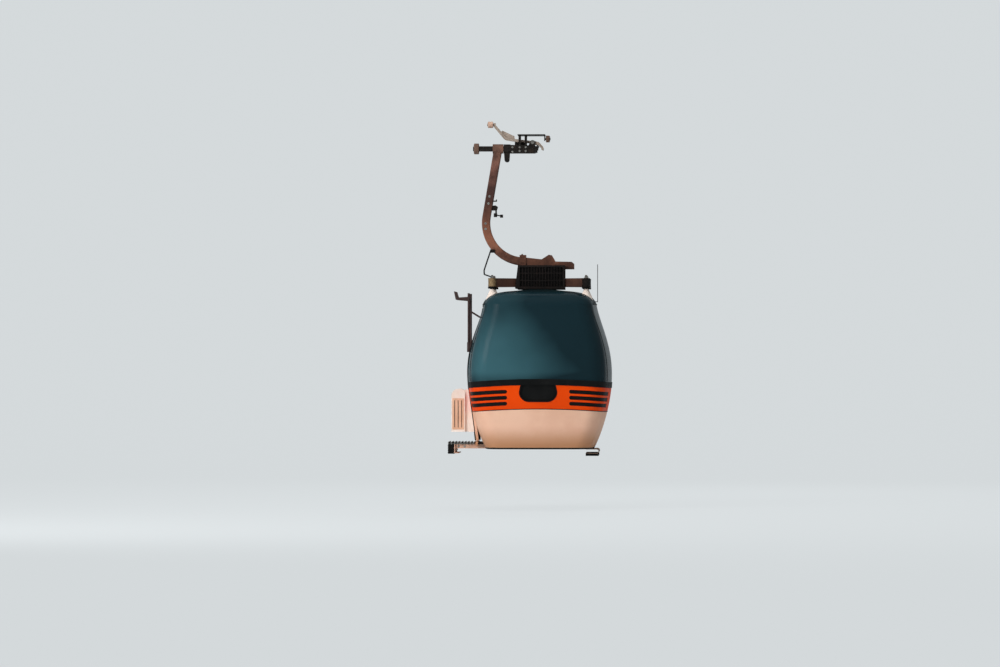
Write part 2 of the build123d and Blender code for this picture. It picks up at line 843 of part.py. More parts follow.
def build_hanger():
    centreline = straight_run + bend_run
    lean = radians(arm_lean)
    start = Plane(origin=(head_x, 0, 0), x_dir=(0, 1, 0), z_dir=(-sin(lean), 0, -cos(lean)))
    path = Plane.XZ * centreline
    arm = sweep(start * RectangleRounded(arm_depth, arm_width, arm_round), path=path)
    head_from = (head_x - head_length / 2 - head_inset, 0, 0)
    head_to = (head_x + head_length / 2 - head_inset, 0, 0)
    arm = arm + rod(head_from, head_to, head_radius)
    arm = arm - rod((head_x - head_length, 0, 0), (head_x + head_length, 0, 0), shaft_radius + running_fit)
    arm = arm & block(-REACH, arm_end_x, -REACH, REACH, -REACH * 2, REACH)
    keep("hanger_arm", arm)

    # Top of the beam: it falls from the arm, rises to the hump and steps down to its free end
    outline = polygon(
        (arm_end_x, beam_top_z),
        (24, beam_top_z - 25),
        (118, beam_top_z + 35),
        (160, beam_top_z + 28),
        (207, beam_top_z - 54),
        (420, beam_top_z - 58),
        (beam_end_x, beam_top_z - 86),
        (beam_end_x, beam_bottom_z),
        (arm_end_x, beam_bottom_z),
    )
    beam = along_rope(outline, arm_depth / 2 + beam_side)
    collar_end = arm_end_x + collar_lap
    collar_top = beam_top_z + collar_rise
    collar = block(collar_x, collar_end, -collar_half, collar_half, beam_bottom_z, collar_top)
    keep("hanger_beam", beam + (collar - arm))

    outer_low = cage_middle_x - cage_half_x
    outer_high = cage_middle_x + cage_half_x
    cage = block(outer_low, outer_high, -cage_half_y, cage_half_y, cage_bottom_z, cage_top_z)
    inside = (cage_half_x - cage_bar, cage_half_y - cage_bar)
    x_hole = (cage_middle_x - inside[0], cage_middle_x + inside[0])
    y_hole = (-inside[1], inside[1])
    z_hole = (cage_bottom_z + cage_bar, cage_top_z - cage_bar)
    cage = cage - block(*x_hole, *y_hole, cage_bottom_z - 1, cage_top_z + 1)
    cage = cage - block(*x_hole, -cage_half_y - 1, cage_half_y + 1, *z_hole)
    cage = cage - block(outer_low - 1, outer_high + 1, *y_hole, *z_hole)
    flare = polygon(
        (outer_low, cage_top_z),
        (outer_low + cage_bar, cage_top_z),
        (outer_low + cage_bar, cage_bottom_z),
        (outer_low - cage_flare, cage_bottom_z),
    )
    for sign in ENDS:
        cage = cage + along_rope(flare, cage_bar / 2, sign * (cage_half_y - cage_bar / 2))
    cage = cage - NODES["hanger_beam"][0]
    keep("cage_frame", cage)

    mesh = []
    pitch = (x_hole[1] - x_hole[0]) / (mesh_bars + 1)
    for sign in (-1, 1):
        y = sign * (cage_half_y - cage_bar / 2)
        panel = Part()
        rows = (y - mesh_depth / 2, y + mesh_depth / 2)
        for index in range(mesh_bars):
            x = x_hole[0] + (index + 1) * pitch
            panel = panel + block(x - mesh_bar / 2, x + mesh_bar / 2, *rows, *z_hole)
        for z in (z_hole[0] + mesh_rail, z_hole[1] - mesh_rail):
            panel = panel + block(*x_hole, *rows, z - mesh_bar / 2, z + mesh_bar / 2)
        mesh.append(panel)
    keep("cage_mesh", *mesh)

    cross = block(*core_x, -core_half_y, core_half_y, cross_bottom_z, beam_bottom_z)
    for sx in (-1, 1):
        for sy in (-1, 1):
            way = Vector(sx * damper_x, sy * damper_y, 0)
            start = Plane(origin=(0, 0, (cross_bottom_z + cross_top_z) / 2), x_dir=way, z_dir=(0, 0, 1))
            depth = cross_top_z - cross_bottom_z
            cross = cross + start * (Pos(way.length / 2, 0, 0) * Box(way.length, crossbeam_width, depth))
    spindle_top = cross_top_z + spindle_rise
    for sx in (-1, 1):
        for sy in (-1, 1):
            x, y = sx * damper_x, sy * damper_y
            cross = cross + rod((x, y, cross_bottom_z), (x, y, cross_top_z), housing_radius)
            cross = cross + rod((x, y, cross_top_z), (x, y, spindle_top), spindle_radius)
    keep("crossbeams", cross)

    rubbers = []
    feet = []
    roof_form = form("roof", 0)
    for sx in (-1, 1):
        for sy in (-1, 1):
            x, y = sx * damper_x, sy * damper_y
            rubber_bottom = cross_bottom_z - rubber_height
            rubbers.append(rod((x, y, rubber_bottom), (x, y, cross_bottom_z), rubber_radius))
            base = Plane(origin=(x, y, level(foot_base)))
            cone = Solid.make_cone(foot_radius, foot_neck, rubber_bottom - level(foot_base), base)
            feet.append(cone - roof_form)
    keep("dampers", *rubbers)
    keep("damper_feet", *feet)


crank_x = -566
crank_hook_z = -690
crank_bracket_z = -780
crank_handle_z = -875
crank_knob_z = -888
crank_knob_x = (-524, -486)
crank_shaft_radius = 11
crank_hub_radius = 26
crank_rod_radius = 8
crank_knob_radius = 21
antenna_x = 766
antenna_y = -300
antenna_top_z = -1531
antenna_level = 1926
antenna_radius = 4


def build_hanger_fittings():
    """Release crank on the arm, bent control rod and whip antenna."""
    lean = radians(arm_lean)
    arm = NODES["hanger_arm"][0]

    def edge_x(z):
        """X of the arm's inner edge on its straight run."""
        return head_x + z * sin(lean) / cos(lean) + arm_width / 2 / cos(lean)

    hook = block(edge_x(crank_hook_z) - 12, crank_x, -12, 12, crank_hook_z - 8, crank_hook_z + 8) - arm
    hook = hook + block(crank_x - 14, crank_x, -12, 12, crank_hook_z, crank_hook_z + 22)
    bracket = polygon(
        (edge_x(crank_bracket_z) - 12, crank_bracket_z - 34),
        (edge_x(crank_bracket_z) - 12, crank_bracket_z + 30),
        (crank_x - 16, crank_bracket_z + 34),
        (crank_x + 14, crank_bracket_z + 12),
        (crank_x - 2, crank_bracket_z - 34),
    )
    crank = along_rope(bracket, 22) - arm
    shaft_x = crank_x - 12
    knob_from, knob_to = ((x, 0, crank_knob_z) for x in crank_knob_x)
    crank = crank + rod((shaft_x, 0, crank_bracket_z), (shaft_x, 0, crank_handle_z), crank_shaft_radius)
    crank = crank + rod(
        (crank_x - 42, 0, crank_handle_z), (crank_x + 2, 0, crank_handle_z), crank_hub_radius
    )
    crank = crank + rod((crank_x, 0, crank_handle_z), (-505, 0, crank_knob_z), crank_rod_radius)
    crank = crank + rod(knob_from, knob_to, crank_knob_radius)
    keep("release_crank", hook, crank)

    route = [(-650, -46, -1350), (-732, -140, -1605), (-727, -200, -1660), (-628, -392, -1695)]
    path = FilletPolyline(*route, radius=22)
    section = Plane(origin=path @ 0, z_dir=path % 0) * Circle(6)
    control = sweep(section, path=path)
    clip = block(-656, -592, -52, -40, -1372, -1328)
    keep("control_rod", control + clip)

    end_x = antenna_x + antenna_radius
    rows = (antenna_y - 12, antenna_y + 12)
    low = level(antenna_level)
    foot = block(antenna_x - 76, end_x, *rows, low, low + 8) - form("roof", 0) - form("body", 0)
    stand = block(antenna_x - antenna_radius, end_x, *rows, low + 8, low + 34)
    whip_from = (antenna_x, antenna_y, low + 29)
    whip = rod(whip_from, (antenna_x, antenna_y, antenna_top_z), antenna_radius)
    keep("antenna", foot + stand + whip)


# Grip: frame with the fixed jaw, moving jaw with its lever, rollers and friction plate
boss_inner_x = -389
boss_outer_x = head_x + head_length / 2 - 2 + side_play
cheek_end_x = -65
fixed_jaw_to = 215
fixed_jaw_from = 113
jaw_tip_play = 6
moving_jaw_to = 82
moving_jaw_from = -25


def jaw_sector(from_angle, to_angle, grow=0):
    """Part of a ring round the rope, made thicker by a clearance if one is given."""
    middle = radians((from_angle + to_angle) / 2)
    first, last = radians(from_angle), radians(to_angle)
    inner, outer = rope_radius - grow, rope_radius + jaw_wall + grow

    def at(radius, angle):
        return radius * cos(angle), radius * sin(angle)

    return make_face(
        [
            ThreePointArc(at(inner, first), at(inner, middle), at(inner, last)),
            Line(at(inner, last), at(outer, last)),
            ThreePointArc(at(outer, last), at(outer, middle), at(outer, first)),
            Line(at(outer, first), at(inner, first)),
        ]
    )


def build_grip_frame():
    boss = rod((boss_outer_x, 0, 0), (boss_inner_x, 0, 0), boss_radius)
    tongue_bottom = -145
    tongue_radius = 33
    middle_x = (boss_outer_x + boss_inner_x) / 2
    tongue = polygon(
        (boss_outer_x, 0),
        (boss_inner_x, 0),
        (middle_x + tongue_radius, tongue_bottom),
        (middle_x - tongue_radius, tongue_bottom),
    )
    tongue = tongue + Pos(middle_x, tongue_bottom) * Circle(tongue_radius)
    cheek = polygon(
        (boss_inner_x, -boss_radius),
        (-60, -60),
        (-60, 20),
        (-66, 60),
        (-66, pivot_z),
        (-124, pivot_z),
        (-150, 45),
        (boss_inner_x, 50),
    )
    cheek = cheek + Pos(pivot_x, pivot_z) * Circle(29)
    frame = boss + along_rope(tongue, 32)
    outer_half = cheek_gap + cheek_wall
    for sign in (-1, 1):
        frame = frame + along_rope(cheek, cheek_wall / 2, sign * (cheek_gap + cheek_wall / 2))
    frame = frame + block(boss_inner_x, boss_inner_x + 40, -outer_half, outer_half, -60, 50)
    frame = frame + block(boss_inner_x, -60, -outer_half, outer_half, -60, -42)
    nose = polygon((-75, -60), (-34, -48), (-30, 15), (-44, 34), (-75, 34))
    nose = nose + jaw_sector(fixed_jaw_from, fixed_jaw_to)
    frame = frame + along_rope(nose, jaw_length / 2)
    for x in (-265, -185):
        for sign in (-1, 1):
            y = sign * (cheek_gap + cheek_wall / 2)
            frame = frame + block(x - 15, x + 15, y - 11, y + 11, 40, 173)
    frame = frame - rod((boss_outer_x - 1, 0, 0), (boss_inner_x, 0, 0), shaft_radius)
    pin_reach = cheek_gap + cheek_wall
    frame = frame + rod((pivot_x, -pin_reach, pivot_z), (pivot_x, pin_reach, pivot_z), pivot_pin_radius)
    keep("grip_frame", frame)


roller_x = -836
roller_radius = 71.5
roller_width = 67
lever_roller_x = -651
lever_roller_z = 318
lever_roller_radius = 42
lever_roller_width = 67
inner_roller_x = 105
inner_roller_z = 130
inner_roller_radius = 45
inner_roller_width = 50
cap_play = 2
roller_bevel = 0.1
plate_top = 185
plate_thick = 12


def wheel(x, z, radius, width, bore):
    """Roller on an axis across the rope, with bevelled edges."""
    bevel = radius * roller_bevel
    half = width / 2
    section = polygon(
        (-half, bore + running_fit),
        (half, bore + running_fit),
        (half, radius - bevel),
        (half - bevel, radius),
        (bevel - half, radius),
        (-half, radius - bevel),
    )
    return Pos(x, 0, z) * revolve(Plane.XZ * section, Axis.X)


def build_rollers():
    shaft_outer = roller_x + roller_width / 2 + cap_play
    journal_end = roller_x - roller_width / 2 - cap_play
    shaft = rod((shaft_outer, 0, 0), (boss_inner_x, 0, 0), shaft_radius)
    shaft = shaft + rod((journal_end - 8, 0, 0), (shaft_outer, 0, 0), journal_radius)
    shaft = shaft + rod((journal_end - 10, 0, 0), (journal_end, 0, 0), journal_radius + 10)
    keep("grip_shaft", shaft)
    keep("outer_roller", wheel(roller_x, 0, roller_radius, roller_width, journal_radius))
    keep(
        "lever_roller",
        wheel(lever_roller_x, lever_roller_z, lever_roller_radius, lever_roller_width, roller_pin_radius),
    )
    keep(
        "inner_roller",
        wheel(inner_roller_x, inner_roller_z, inner_roller_radius, inner_roller_width, roller_pin_radius),
    )


def build_jaw_lever():
    """Moving jaw over the rope, with the long lever that opens it."""
    eye_x = lever_roller_x + lever_roller_width / 2 + 20
    route = FilletPolyline(
        (pivot_x, pivot_z), (-331, 112), (-452, 132), (eye_x, lever_roller_z - 14), radius=60
    )
    lever = along_rope(trace(route, lever_width), lever_depth / 2)
    web = polygon((-520, 205), (-497, 243), (-335, 166), (-331, 118), (-452, 138))
    lever = lever + along_rope(web, 8)
    lever = lever + rod(
        (eye_x - 16, 0, lever_roller_z), (eye_x + 16, 0, lever_roller_z), lever_depth / 2
    )
    pin_end = lever_roller_x - lever_roller_width / 2 - cap_play
    lever = lever + rod(
        (pin_end - 8, 0, lever_roller_z), (eye_x, 0, lever_roller_z), roller_pin_radius
    )
    lever = lever + rod(
        (pin_end - 8, 0, lever_roller_z), (pin_end, 0, lever_roller_z), roller_pin_radius + 6
    )
    hub = Pos(pivot_x, pivot_z) * Circle(29)
    lever = lever + along_rope(hub, cheek_gap - side_play)
    arm = polygon((pivot_x, pivot_z + 28), (pivot_x, pivot_z - 20), (-36, 44), (0, 30), (34, 38), (-10, 84))
    lever = lever + along_rope(arm, cheek_gap - side_play)
    jaw = jaw_sector(moving_jaw_from, moving_jaw_to)
    brow = polygon((-36, 50), (4, 30), (38, 34), (-10, 84), (-36, 92))
    lever = lever + along_rope(jaw, jaw_length / 2) + along_rope(brow, jaw_length / 2)
    lever = lever - along_rope(Circle(rope_radius), jaw_length)
    jaw_room = jaw_sector(fixed_jaw_from - jaw_tip_play, fixed_jaw_to, side_play)
    lever = lever - along_rope(jaw_room, jaw_length)
    pin_reach = cheek_gap
    lever = lever - rod(
        (pivot_x, -pin_reach, pivot_z), (pivot_x, pin_reach, pivot_z), pivot_pin_radius + running_fit
    )
    keep("jaw_lever", lever)


def build_friction_plate():
    plate = block(-290, 72, -210, 210, plate_top - plate_thick, plate_top)
    hanger = block(58, 72, -40, 40, inner_roller_z - 25, plate_top - plate_thick)
    stub_end = inner_roller_x + inner_roller_width / 2 + cap_play
    stub = rod((58, 0, inner_roller_z), (stub_end + 8, 0, inner_roller_z), roller_pin_radius)
    cap = rod((stub_end, 0, inner_roller_z), (stub_end + 8, 0, inner_roller_z), roller_pin_radius + 6)
    keep("friction_plate", plate + hanger + stub + cap)


def build_springs():
    cups = []
    for x in (-300, -225):
        cup = rod((x, 0, -42), (x, 0, 30), 32) + rod((x, 0, 30), (x, 0, 46), 22)
        cups.append(cup)
    keep("spring_cups", *cups)


def build_grip():
    build_grip_frame()
    build_rollers()
    build_jaw_lever()
    build_friction_plate()
    build_springs()


def export_nodes():
    for name, solids in NODES.items():
        shape = Compound(children=list(solids)) if len(solids) > 1 else solids[0]
        export_step(shape, f"parts/{name}.step")


build_panels()
build_window_frame()
build_doorway()
build_glass()
build_floor()
build_seats()
build_step()
build_guide_shoe()
build_leaf()
build_door_arm()
build_ski_basket()
build_ski_comb()
build_hanger()
build_hanger_fittings()
build_grip()
export_nodes()
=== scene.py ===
# Finish and small parts of the cable car cabin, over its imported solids.
# Metres, Z up. Y runs along the rope, X across it. The origin is the rope in the grip.
import math

import bmesh
import bpy
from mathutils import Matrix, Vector
from mathutils.bvhtree import BVHTree


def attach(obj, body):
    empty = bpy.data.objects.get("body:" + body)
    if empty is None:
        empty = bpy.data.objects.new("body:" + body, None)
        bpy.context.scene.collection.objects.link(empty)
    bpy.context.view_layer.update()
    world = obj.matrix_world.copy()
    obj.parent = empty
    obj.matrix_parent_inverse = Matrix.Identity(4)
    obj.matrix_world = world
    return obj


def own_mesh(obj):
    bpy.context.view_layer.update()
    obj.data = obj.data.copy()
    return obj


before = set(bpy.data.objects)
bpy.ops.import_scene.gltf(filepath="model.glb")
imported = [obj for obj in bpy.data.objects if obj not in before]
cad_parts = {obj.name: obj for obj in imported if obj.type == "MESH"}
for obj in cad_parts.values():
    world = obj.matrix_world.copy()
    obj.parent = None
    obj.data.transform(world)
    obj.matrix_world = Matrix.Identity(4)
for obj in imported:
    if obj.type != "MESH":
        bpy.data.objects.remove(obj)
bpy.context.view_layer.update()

CABIN_BOTTOM = -3.951
MM = 0.001
MM_IN_METRE = 1000
UP = (0, 0, 1)
ALONG_ROPE = (0, 1, 0)
ACROSS = (1, 0, 0)


def level(height_mm):
    """Z of a height in millimetres above the cabin's bottom edge."""
    return CABIN_BOTTOM + height_mm * MM


def colour(code):
    """Linear colour from an sRGB hex code."""
    parts = [int(code[i : i + 2], 16) / 255 for i in (1, 3, 5)]
    return [p / 12.92 if p <= 0.04045 else ((p + 0.055) / 1.055) ** 2.4 for p in parts] + [1]


def add_node(tree, kind, values=None, links=None, **settings):
    """One node with its settings, socket values and incoming links."""
    node = tree.nodes.new(kind)
    for name, value in settings.items():
        setattr(node, name, value)
    for socket, value in (values or {}).items():
        node.inputs[socket].default_value = value
    for socket, source in (links or {}).items():
        tree.links.new(source, node.inputs[socket])
    return node


def show(thing):
    """Links an object to the scene."""
    bpy.context.scene.collection.objects.link(thing)


# Far camera level with the windows, so that the cabin shows almost without perspective
FOCAL = 200
SENSOR_WIDTH = 36
CLIP_END = 400
CAMERA_AT = (1.7036, -73.29, -2.71)
CAMERA_TURN = 1.7428
CAMERA_TIP = 0.2136


def build_camera():
    lens = bpy.data.cameras.new("camera")
    lens.lens = FOCAL
    lens.sensor_width = SENSOR_WIDTH
    lens.clip_end = CLIP_END
    camera = bpy.data.objects.new("camera", lens)
    camera.location = CAMERA_AT
    camera.rotation_euler = (math.radians(90 + CAMERA_TIP), 0, math.radians(CAMERA_TURN))
    show(camera)
    bpy.context.scene.camera = camera


# Stage: pale floor that turns up into a pale wall behind the object
FLOOR_Z = -4.75
FLOOR_SIDE = 90
FLOOR_FRONT = -130
FLOOR_ROUGHNESS = 0.9
WALL_Y = 30
WALL_TOP = 60
WALL_TURN = 9
TURN_STEPS = 16
# Columns: name, place, aimed at, side length, power
LAMPS = [
    ("key", (-8.5, -11.0, 3.0), (0, 0, -2.8), 6.5, 1380),
    ("fill", (10.0, -11.0, -1.0), (0, 0, -3), 8, 35),
    ("back", (3.0, 10.0, 5.0), (0, 0, -2.5), 6, 450),
    ("top", (0.0, -2.0, 6.5), (0, 0, -3), 7, 260),
]
DAYLIGHT = 0.34
BACKDROP = "#DDE2E4"
BACKDROP_GLOW = 0.88
MIRRORED_GLOW = 0.14
# As bright as the floor far from the lamps, so that no horizon shows
SKY_GLOW = 0.912


def background_rays(tree):
    """One for rays from the camera or let through, less for mirrored ones, and nothing for the rest."""
    path = add_node(tree, "ShaderNodeLightPath").outputs
    mirrored = add_node(
        tree, "ShaderNodeMath", {1: MIRRORED_GLOW}, {0: path["Is Glossy Ray"]}, operation="MULTIPLY"
    ).outputs[0]
    seen = add_node(
        tree,
        "ShaderNodeMath",
        links={0: path["Is Camera Ray"], 1: path["Is Transmission Ray"]},
        operation="MAXIMUM",
    ).outputs[0]
    return add_node(tree, "ShaderNodeMath", links={0: mirrored, 1: seen}, operation="MAXIMUM").outputs[0]


def floor_finish():
    """Matt pale paper. The camera looks through its back, so that views from low and behind stay open."""
    material, tree, shader = new_material("pale studio floor")
    shader.inputs["Base Color"].default_value = colour(BACKDROP)
    shader.inputs["Roughness"].default_value = FLOOR_ROUGHNESS
    glow = add_node(tree, "ShaderNodeEmission", {"Color": colour(BACKDROP)}).outputs[0]
    share = add_node(
        tree, "ShaderNodeMath", {1: BACKDROP_GLOW}, {0: background_rays(tree)}, operation="MULTIPLY"
    ).outputs[0]
    front = add_node(tree, "ShaderNodeMixShader", links={0: share, 1: shader.outputs[0], 2: glow}).outputs[0]
    seen = add_node(tree, "ShaderNodeLightPath").outputs["Is Camera Ray"]
    behind = add_node(tree, "ShaderNodeNewGeometry").outputs["Backfacing"]
    hidden = add_node(tree, "ShaderNodeMath", links={0: behind, 1: seen}, operation="MULTIPLY").outputs[0]
    clear = add_node(tree, "ShaderNodeBsdfTransparent").outputs[0]
    either = add_node(tree, "ShaderNodeMixShader", links={0: hidden, 1: front, 2: clear}).outputs[0]
    tree.links.new(either, tree.nodes["Material Output"].inputs["Surface"])
    return material


def build_floor():
    bend_y = WALL_Y - WALL_TURN
    rows = [(FLOOR_FRONT, FLOOR_Z), (bend_y, FLOOR_Z)]
    for step in range(1, TURN_STEPS + 1):
        angle = math.radians(90 * step / TURN_STEPS)
        rows.append((bend_y + WALL_TURN * math.sin(angle), FLOOR_Z + WALL_TURN * (1 - math.cos(angle))))
    rows.append((WALL_Y, WALL_TOP))
    form = bmesh.new()
    edges = []
    for y, z in rows:
        edges.append([form.verts.new((x, y, z)) for x in (-FLOOR_SIDE, FLOOR_SIDE)])
    for first, second in zip(edges, edges[1:]):
        form.faces.new((first[0], first[1], second[1], second[0]))
    mesh = bpy.data.meshes.new("floor")
    form.to_mesh(mesh)
    form.free()
    mesh.shade_smooth()
    mesh.materials.append(floor_finish())
    floor = bpy.data.objects.new("floor", mesh)
    show(floor)


def build_lamps():
    for name, place, aim, side, power in LAMPS:
        lamp = bpy.data.lights.new(name, "AREA")
        lamp.energy = power
        lamp.size = side
        holder = bpy.data.objects.new(name, lamp)
        holder.location = place
        holder.rotation_euler = (Vector(aim) - Vector(place)).to_track_quat("-Z", "Y").to_euler()
        holder.visible_glossy = False
        show(holder)


def build_sky():
    world = bpy.data.worlds.new("studio")
    bpy.context.scene.world = world
    world.use_nodes = True
    tree = world.node_tree
    sky = tree.nodes["Background"]
    sky.inputs["Color"].default_value = colour(BACKDROP)
    strength = add_node(
        tree,
        "ShaderNodeMapRange",
        {"To Min": DAYLIGHT, "To Max": SKY_GLOW},
        {"Value": background_rays(tree)},
    )
    tree.links.new(strength.outputs["Result"], sky.inputs["Strength"])
    bpy.context.scene.view_settings.view_transform = "Standard"


# Materials
def new_material(name):
    material = bpy.data.materials.new(name)
    material.use_nodes = True
    tree = material.node_tree
    return material, tree, tree.nodes["Principled BSDF"]


# Values of the noise between which a finish drifts from its clean colour to its shade
DRIFT_FROM = 0.38
DRIFT_TO = 0.68
# Stains are finer than the drift and drawn out downwards
STAINS_IN_PATCH = 2.6
STAIN_RUN = 0.18
# Values of the noise where stains begin and are full, before their share lowers both
STAIN_FROM = 0.72
STAIN_TO = 0.9
STAIN_REACH = 0.3
STAIN_COVER = 0.9
# Stained places are duller than clean ones
GLOSS_BELOW = 0.06
GLOSS_ABOVE = 0.16
GRAIN_DEPTH = 0.2
# Heights in millimetres between which the foot colour, which is painted shade, fades out
FOOT_FULL = 20
FOOT_END = 330


def weathered(name, clean, shade, stain, patch, speck, stain_share, rough, metallic, shine, bump, foot=None):
    """Finish with slow colour drift, stains that run down, and fine grain.

    clean, shade and stain are colours; patch and speck are pattern sizes in millimetres.
    A foot colour, which is painted shade, gathers towards the cabin's bottom edge, and clean may be bands of
    colour by height, which paint light and shade."""
    material, tree, shader = new_material(name)
    place = add_node(tree, "ShaderNodeTexCoord").outputs["Object"]
    drift = add_node(
        tree,
        "ShaderNodeTexNoise",
        {"Scale": MM_IN_METRE / patch, "Detail": 4.0, "Roughness": 0.6},
        {"Vector": place},
    )
    spread = add_node(
        tree,
        "ShaderNodeMapRange",
        {"From Min": DRIFT_FROM, "From Max": DRIFT_TO},
        {"Value": drift.outputs["Fac"]},
    )
    base = add_node(
        tree, "ShaderNodeMix", {7: colour(shade)}, {0: spread.outputs["Result"]}, data_type="RGBA"
    )
    if isinstance(clean, str):
        base.inputs[6].default_value = colour(clean)
    else:
        tree.links.new(height_bands(tree, place, clean), base.inputs[6])
    runs = add_node(tree, "ShaderNodeMapping", {"Scale": (1.0, 1.0, STAIN_RUN)}, {"Vector": place})
    streak = add_node(
        tree,
        "ShaderNodeTexNoise",
        {
            "Scale": STAINS_IN_PATCH * MM_IN_METRE / patch,
            "Detail": 6.0,
            "Roughness": 0.68,
            "Distortion": 0.3,
        },
        {"Vector": runs.outputs["Vector"]},
    ).outputs["Fac"]
    eased = STAIN_REACH * stain_share
    dirt = add_node(
        tree,
        "ShaderNodeMapRange",
        {"From Min": STAIN_FROM - eased, "From Max": STAIN_TO - eased, "To Max": STAIN_COVER},
        {"Value": streak},
    )
    shown = add_node(
        tree,
        "ShaderNodeMix",
        {7: colour(stain)},
        {0: dirt.outputs["Result"], 6: base.outputs[2]},
        data_type="RGBA",
    ).outputs[2]
    # Painted shade: the foot colour darkens the finish towards the cabin's bottom edge
    if foot:
        height = add_node(tree, "ShaderNodeSeparateXYZ", links={"Vector": place}).outputs["Z"]
        low = add_node(
            tree,
            "ShaderNodeMapRange",
            {"From Min": level(FOOT_FULL), "From Max": level(FOOT_END), "To Min": 1.0, "To Max": 0.0},
            {"Value": height},
            interpolation_type="SMOOTHSTEP",
        )
        shown = add_node(
            tree, "ShaderNodeMix", {7: colour(foot)}, {0: low.outputs["Result"], 6: shown}, data_type="RGBA"
        ).outputs[2]
    tree.links.new(shown, shader.inputs["Base Color"])
    gloss = add_node(
        tree,
        "ShaderNodeMapRange",
        {"To Min": rough - GLOSS_BELOW, "To Max": rough + GLOSS_ABOVE},
        {"Value": streak},
    )
    tree.links.new(gloss.outputs["Result"], shader.inputs["Roughness"])
    grain = add_node(
        tree, "ShaderNodeTexNoise", {"Scale": MM_IN_METRE / speck, "Detail": 3.0}, {"Vector": place}
    )
    relief = add_node(
        tree,
        "ShaderNodeBump",
        {"Strength": bump, "Distance": speck * MM * GRAIN_DEPTH},
        {"Height": grain.outputs["Fac"]},
    )
    tree.links.new(relief.outputs["Normal"], shader.inputs["Normal"])
    shader.inputs["Metallic"].default_value = metallic
    shader.inputs["Specular IOR Level"].default_value = shine
    return material


# How far the edges of the bands wander, as a share of their whole height, and how often in a metre
BAND_WANDER = 0.12
BAND_WAVES = 3.0


def height_bands(tree, place, bands):
    """Colour that changes with height in uneven bands. Columns: Z in metres, lowest first, and colour."""
    low, high = bands[0][0], bands[-1][0]
    height = add_node(tree, "ShaderNodeSeparateXYZ", links={"Vector": place}).outputs["Z"]
    share = add_node(tree, "ShaderNodeMapRange", {"From Min": low, "From Max": high}, {"Value": height})
    wander = add_node(tree, "ShaderNodeTexNoise", {"Scale": BAND_WAVES, "Detail": 3.0}, {"Vector": place})
    shift = add_node(
        tree,
        "ShaderNodeMapRange",
        {"To Min": -BAND_WANDER, "To Max": BAND_WANDER},
        {"Value": wander.outputs["Fac"]},
    )
    uneven = add_node(
        tree,
        "ShaderNodeMath",
        links={0: share.outputs["Result"], 1: shift.outputs["Result"]},
        operation="ADD",
    )
    ramp = add_node(tree, "ShaderNodeValToRGB", links={"Fac": uneven.outputs[0]})
    stops = ramp.color_ramp.elements
    while len(stops) < len(bands):
        stops.new(1.0)
    for stop, (z, code) in zip(stops, bands):
        stop.position = (z - low) / (high - low)
        stop.color = colour(code)
    return ramp.outputs["Color"]


# Lit and shaded ends of the light and shade painted on the glass
PANE_LIGHT = "#3C656E"
PANE_DARK = "#132A31"
PANE_DRIFT = 0.28
# Columns: axis, from, to, darkening at each end, all of it painted shade
PANE_PAINTED_SHADE = [
    # Painted shade: darker away from the lit door side, and at that side's edge
    ("X", -0.5, 0.7, 0.0, 1.0),
    ("X", -0.92, -0.74, 0.35, 0.0),
    # Painted shade: darker towards the roof, and in a soft band over the gasket
    ("Z", level(900), level(1950), 0.0, 0.75),
    ("Z", level(890), level(1030), 0.45, 0.0),
]


def tinted_pane():
    """Teal tinted acrylic: glossy, with painted light and shade, lighter low on the door side and nearly
    black across the cabin.
    """
    material, tree, shader = new_material("tinted acrylic")
    place = add_node(tree, "ShaderNodeTexCoord").outputs["Object"]
    axes = add_node(tree, "ShaderNodeSeparateXYZ", links={"Vector": place}).outputs
    drift = add_node(tree, "ShaderNodeTexNoise", {"Scale": 1.6, "Detail": 2.0}, {"Vector": place})
    total = add_node(
        tree,
        "ShaderNodeMapRange",
        {"To Min": -PANE_DRIFT, "To Max": PANE_DRIFT},
        {"Value": drift.outputs["Fac"]},
    ).outputs["Result"]
    for axis, start, end, first, last in PANE_PAINTED_SHADE:
        step = add_node(
            tree,
            "ShaderNodeMapRange",
            {"From Min": start, "From Max": end, "To Min": first, "To Max": last},
            {"Value": axes[axis]},
            interpolation_type="SMOOTHSTEP",
        )
        total = add_node(
            tree, "ShaderNodeMath", links={0: total, 1: step.outputs["Result"]}, operation="ADD"
        ).outputs[0]
    # Share of painted shade, from the lit teal to the shaded near-black
    painted_shade = add_node(tree, "ShaderNodeClamp", links={"Value": total})
    tint = add_node(
        tree,
        "ShaderNodeMix",
        {6: colour(PANE_LIGHT), 7: colour(PANE_DARK)},
        {0: painted_shade.outputs["Result"]},
        data_type="RGBA",
    )
    tree.links.new(tint.outputs[2], shader.inputs["Base Color"])
    # Wiping leaves a fine haze, some 17 mm across
    wipe = add_node(tree, "ShaderNodeTexNoise", {"Scale": 60.0, "Detail": 5.0}, {"Vector": place})
    haze = add_node(
        tree, "ShaderNodeMapRange", {"To Min": 0.14, "To Max": 0.26}, {"Value": wipe.outputs["Fac"]}
    )
    tree.links.new(haze.outputs["Result"], shader.inputs["Roughness"])
    shader.inputs["Transmission Weight"].default_value = 0.08
    shader.inputs["IOR"].default_value = 1.49
    shader.inputs["Specular IOR Level"].default_value = 0.12
    return material


# A wave texture repeats every pi / (10 * scale) metres, here 12 mm
MAT_RIB_SCALE = 26.0
MAT_RIB_HEIGHT = 0.002


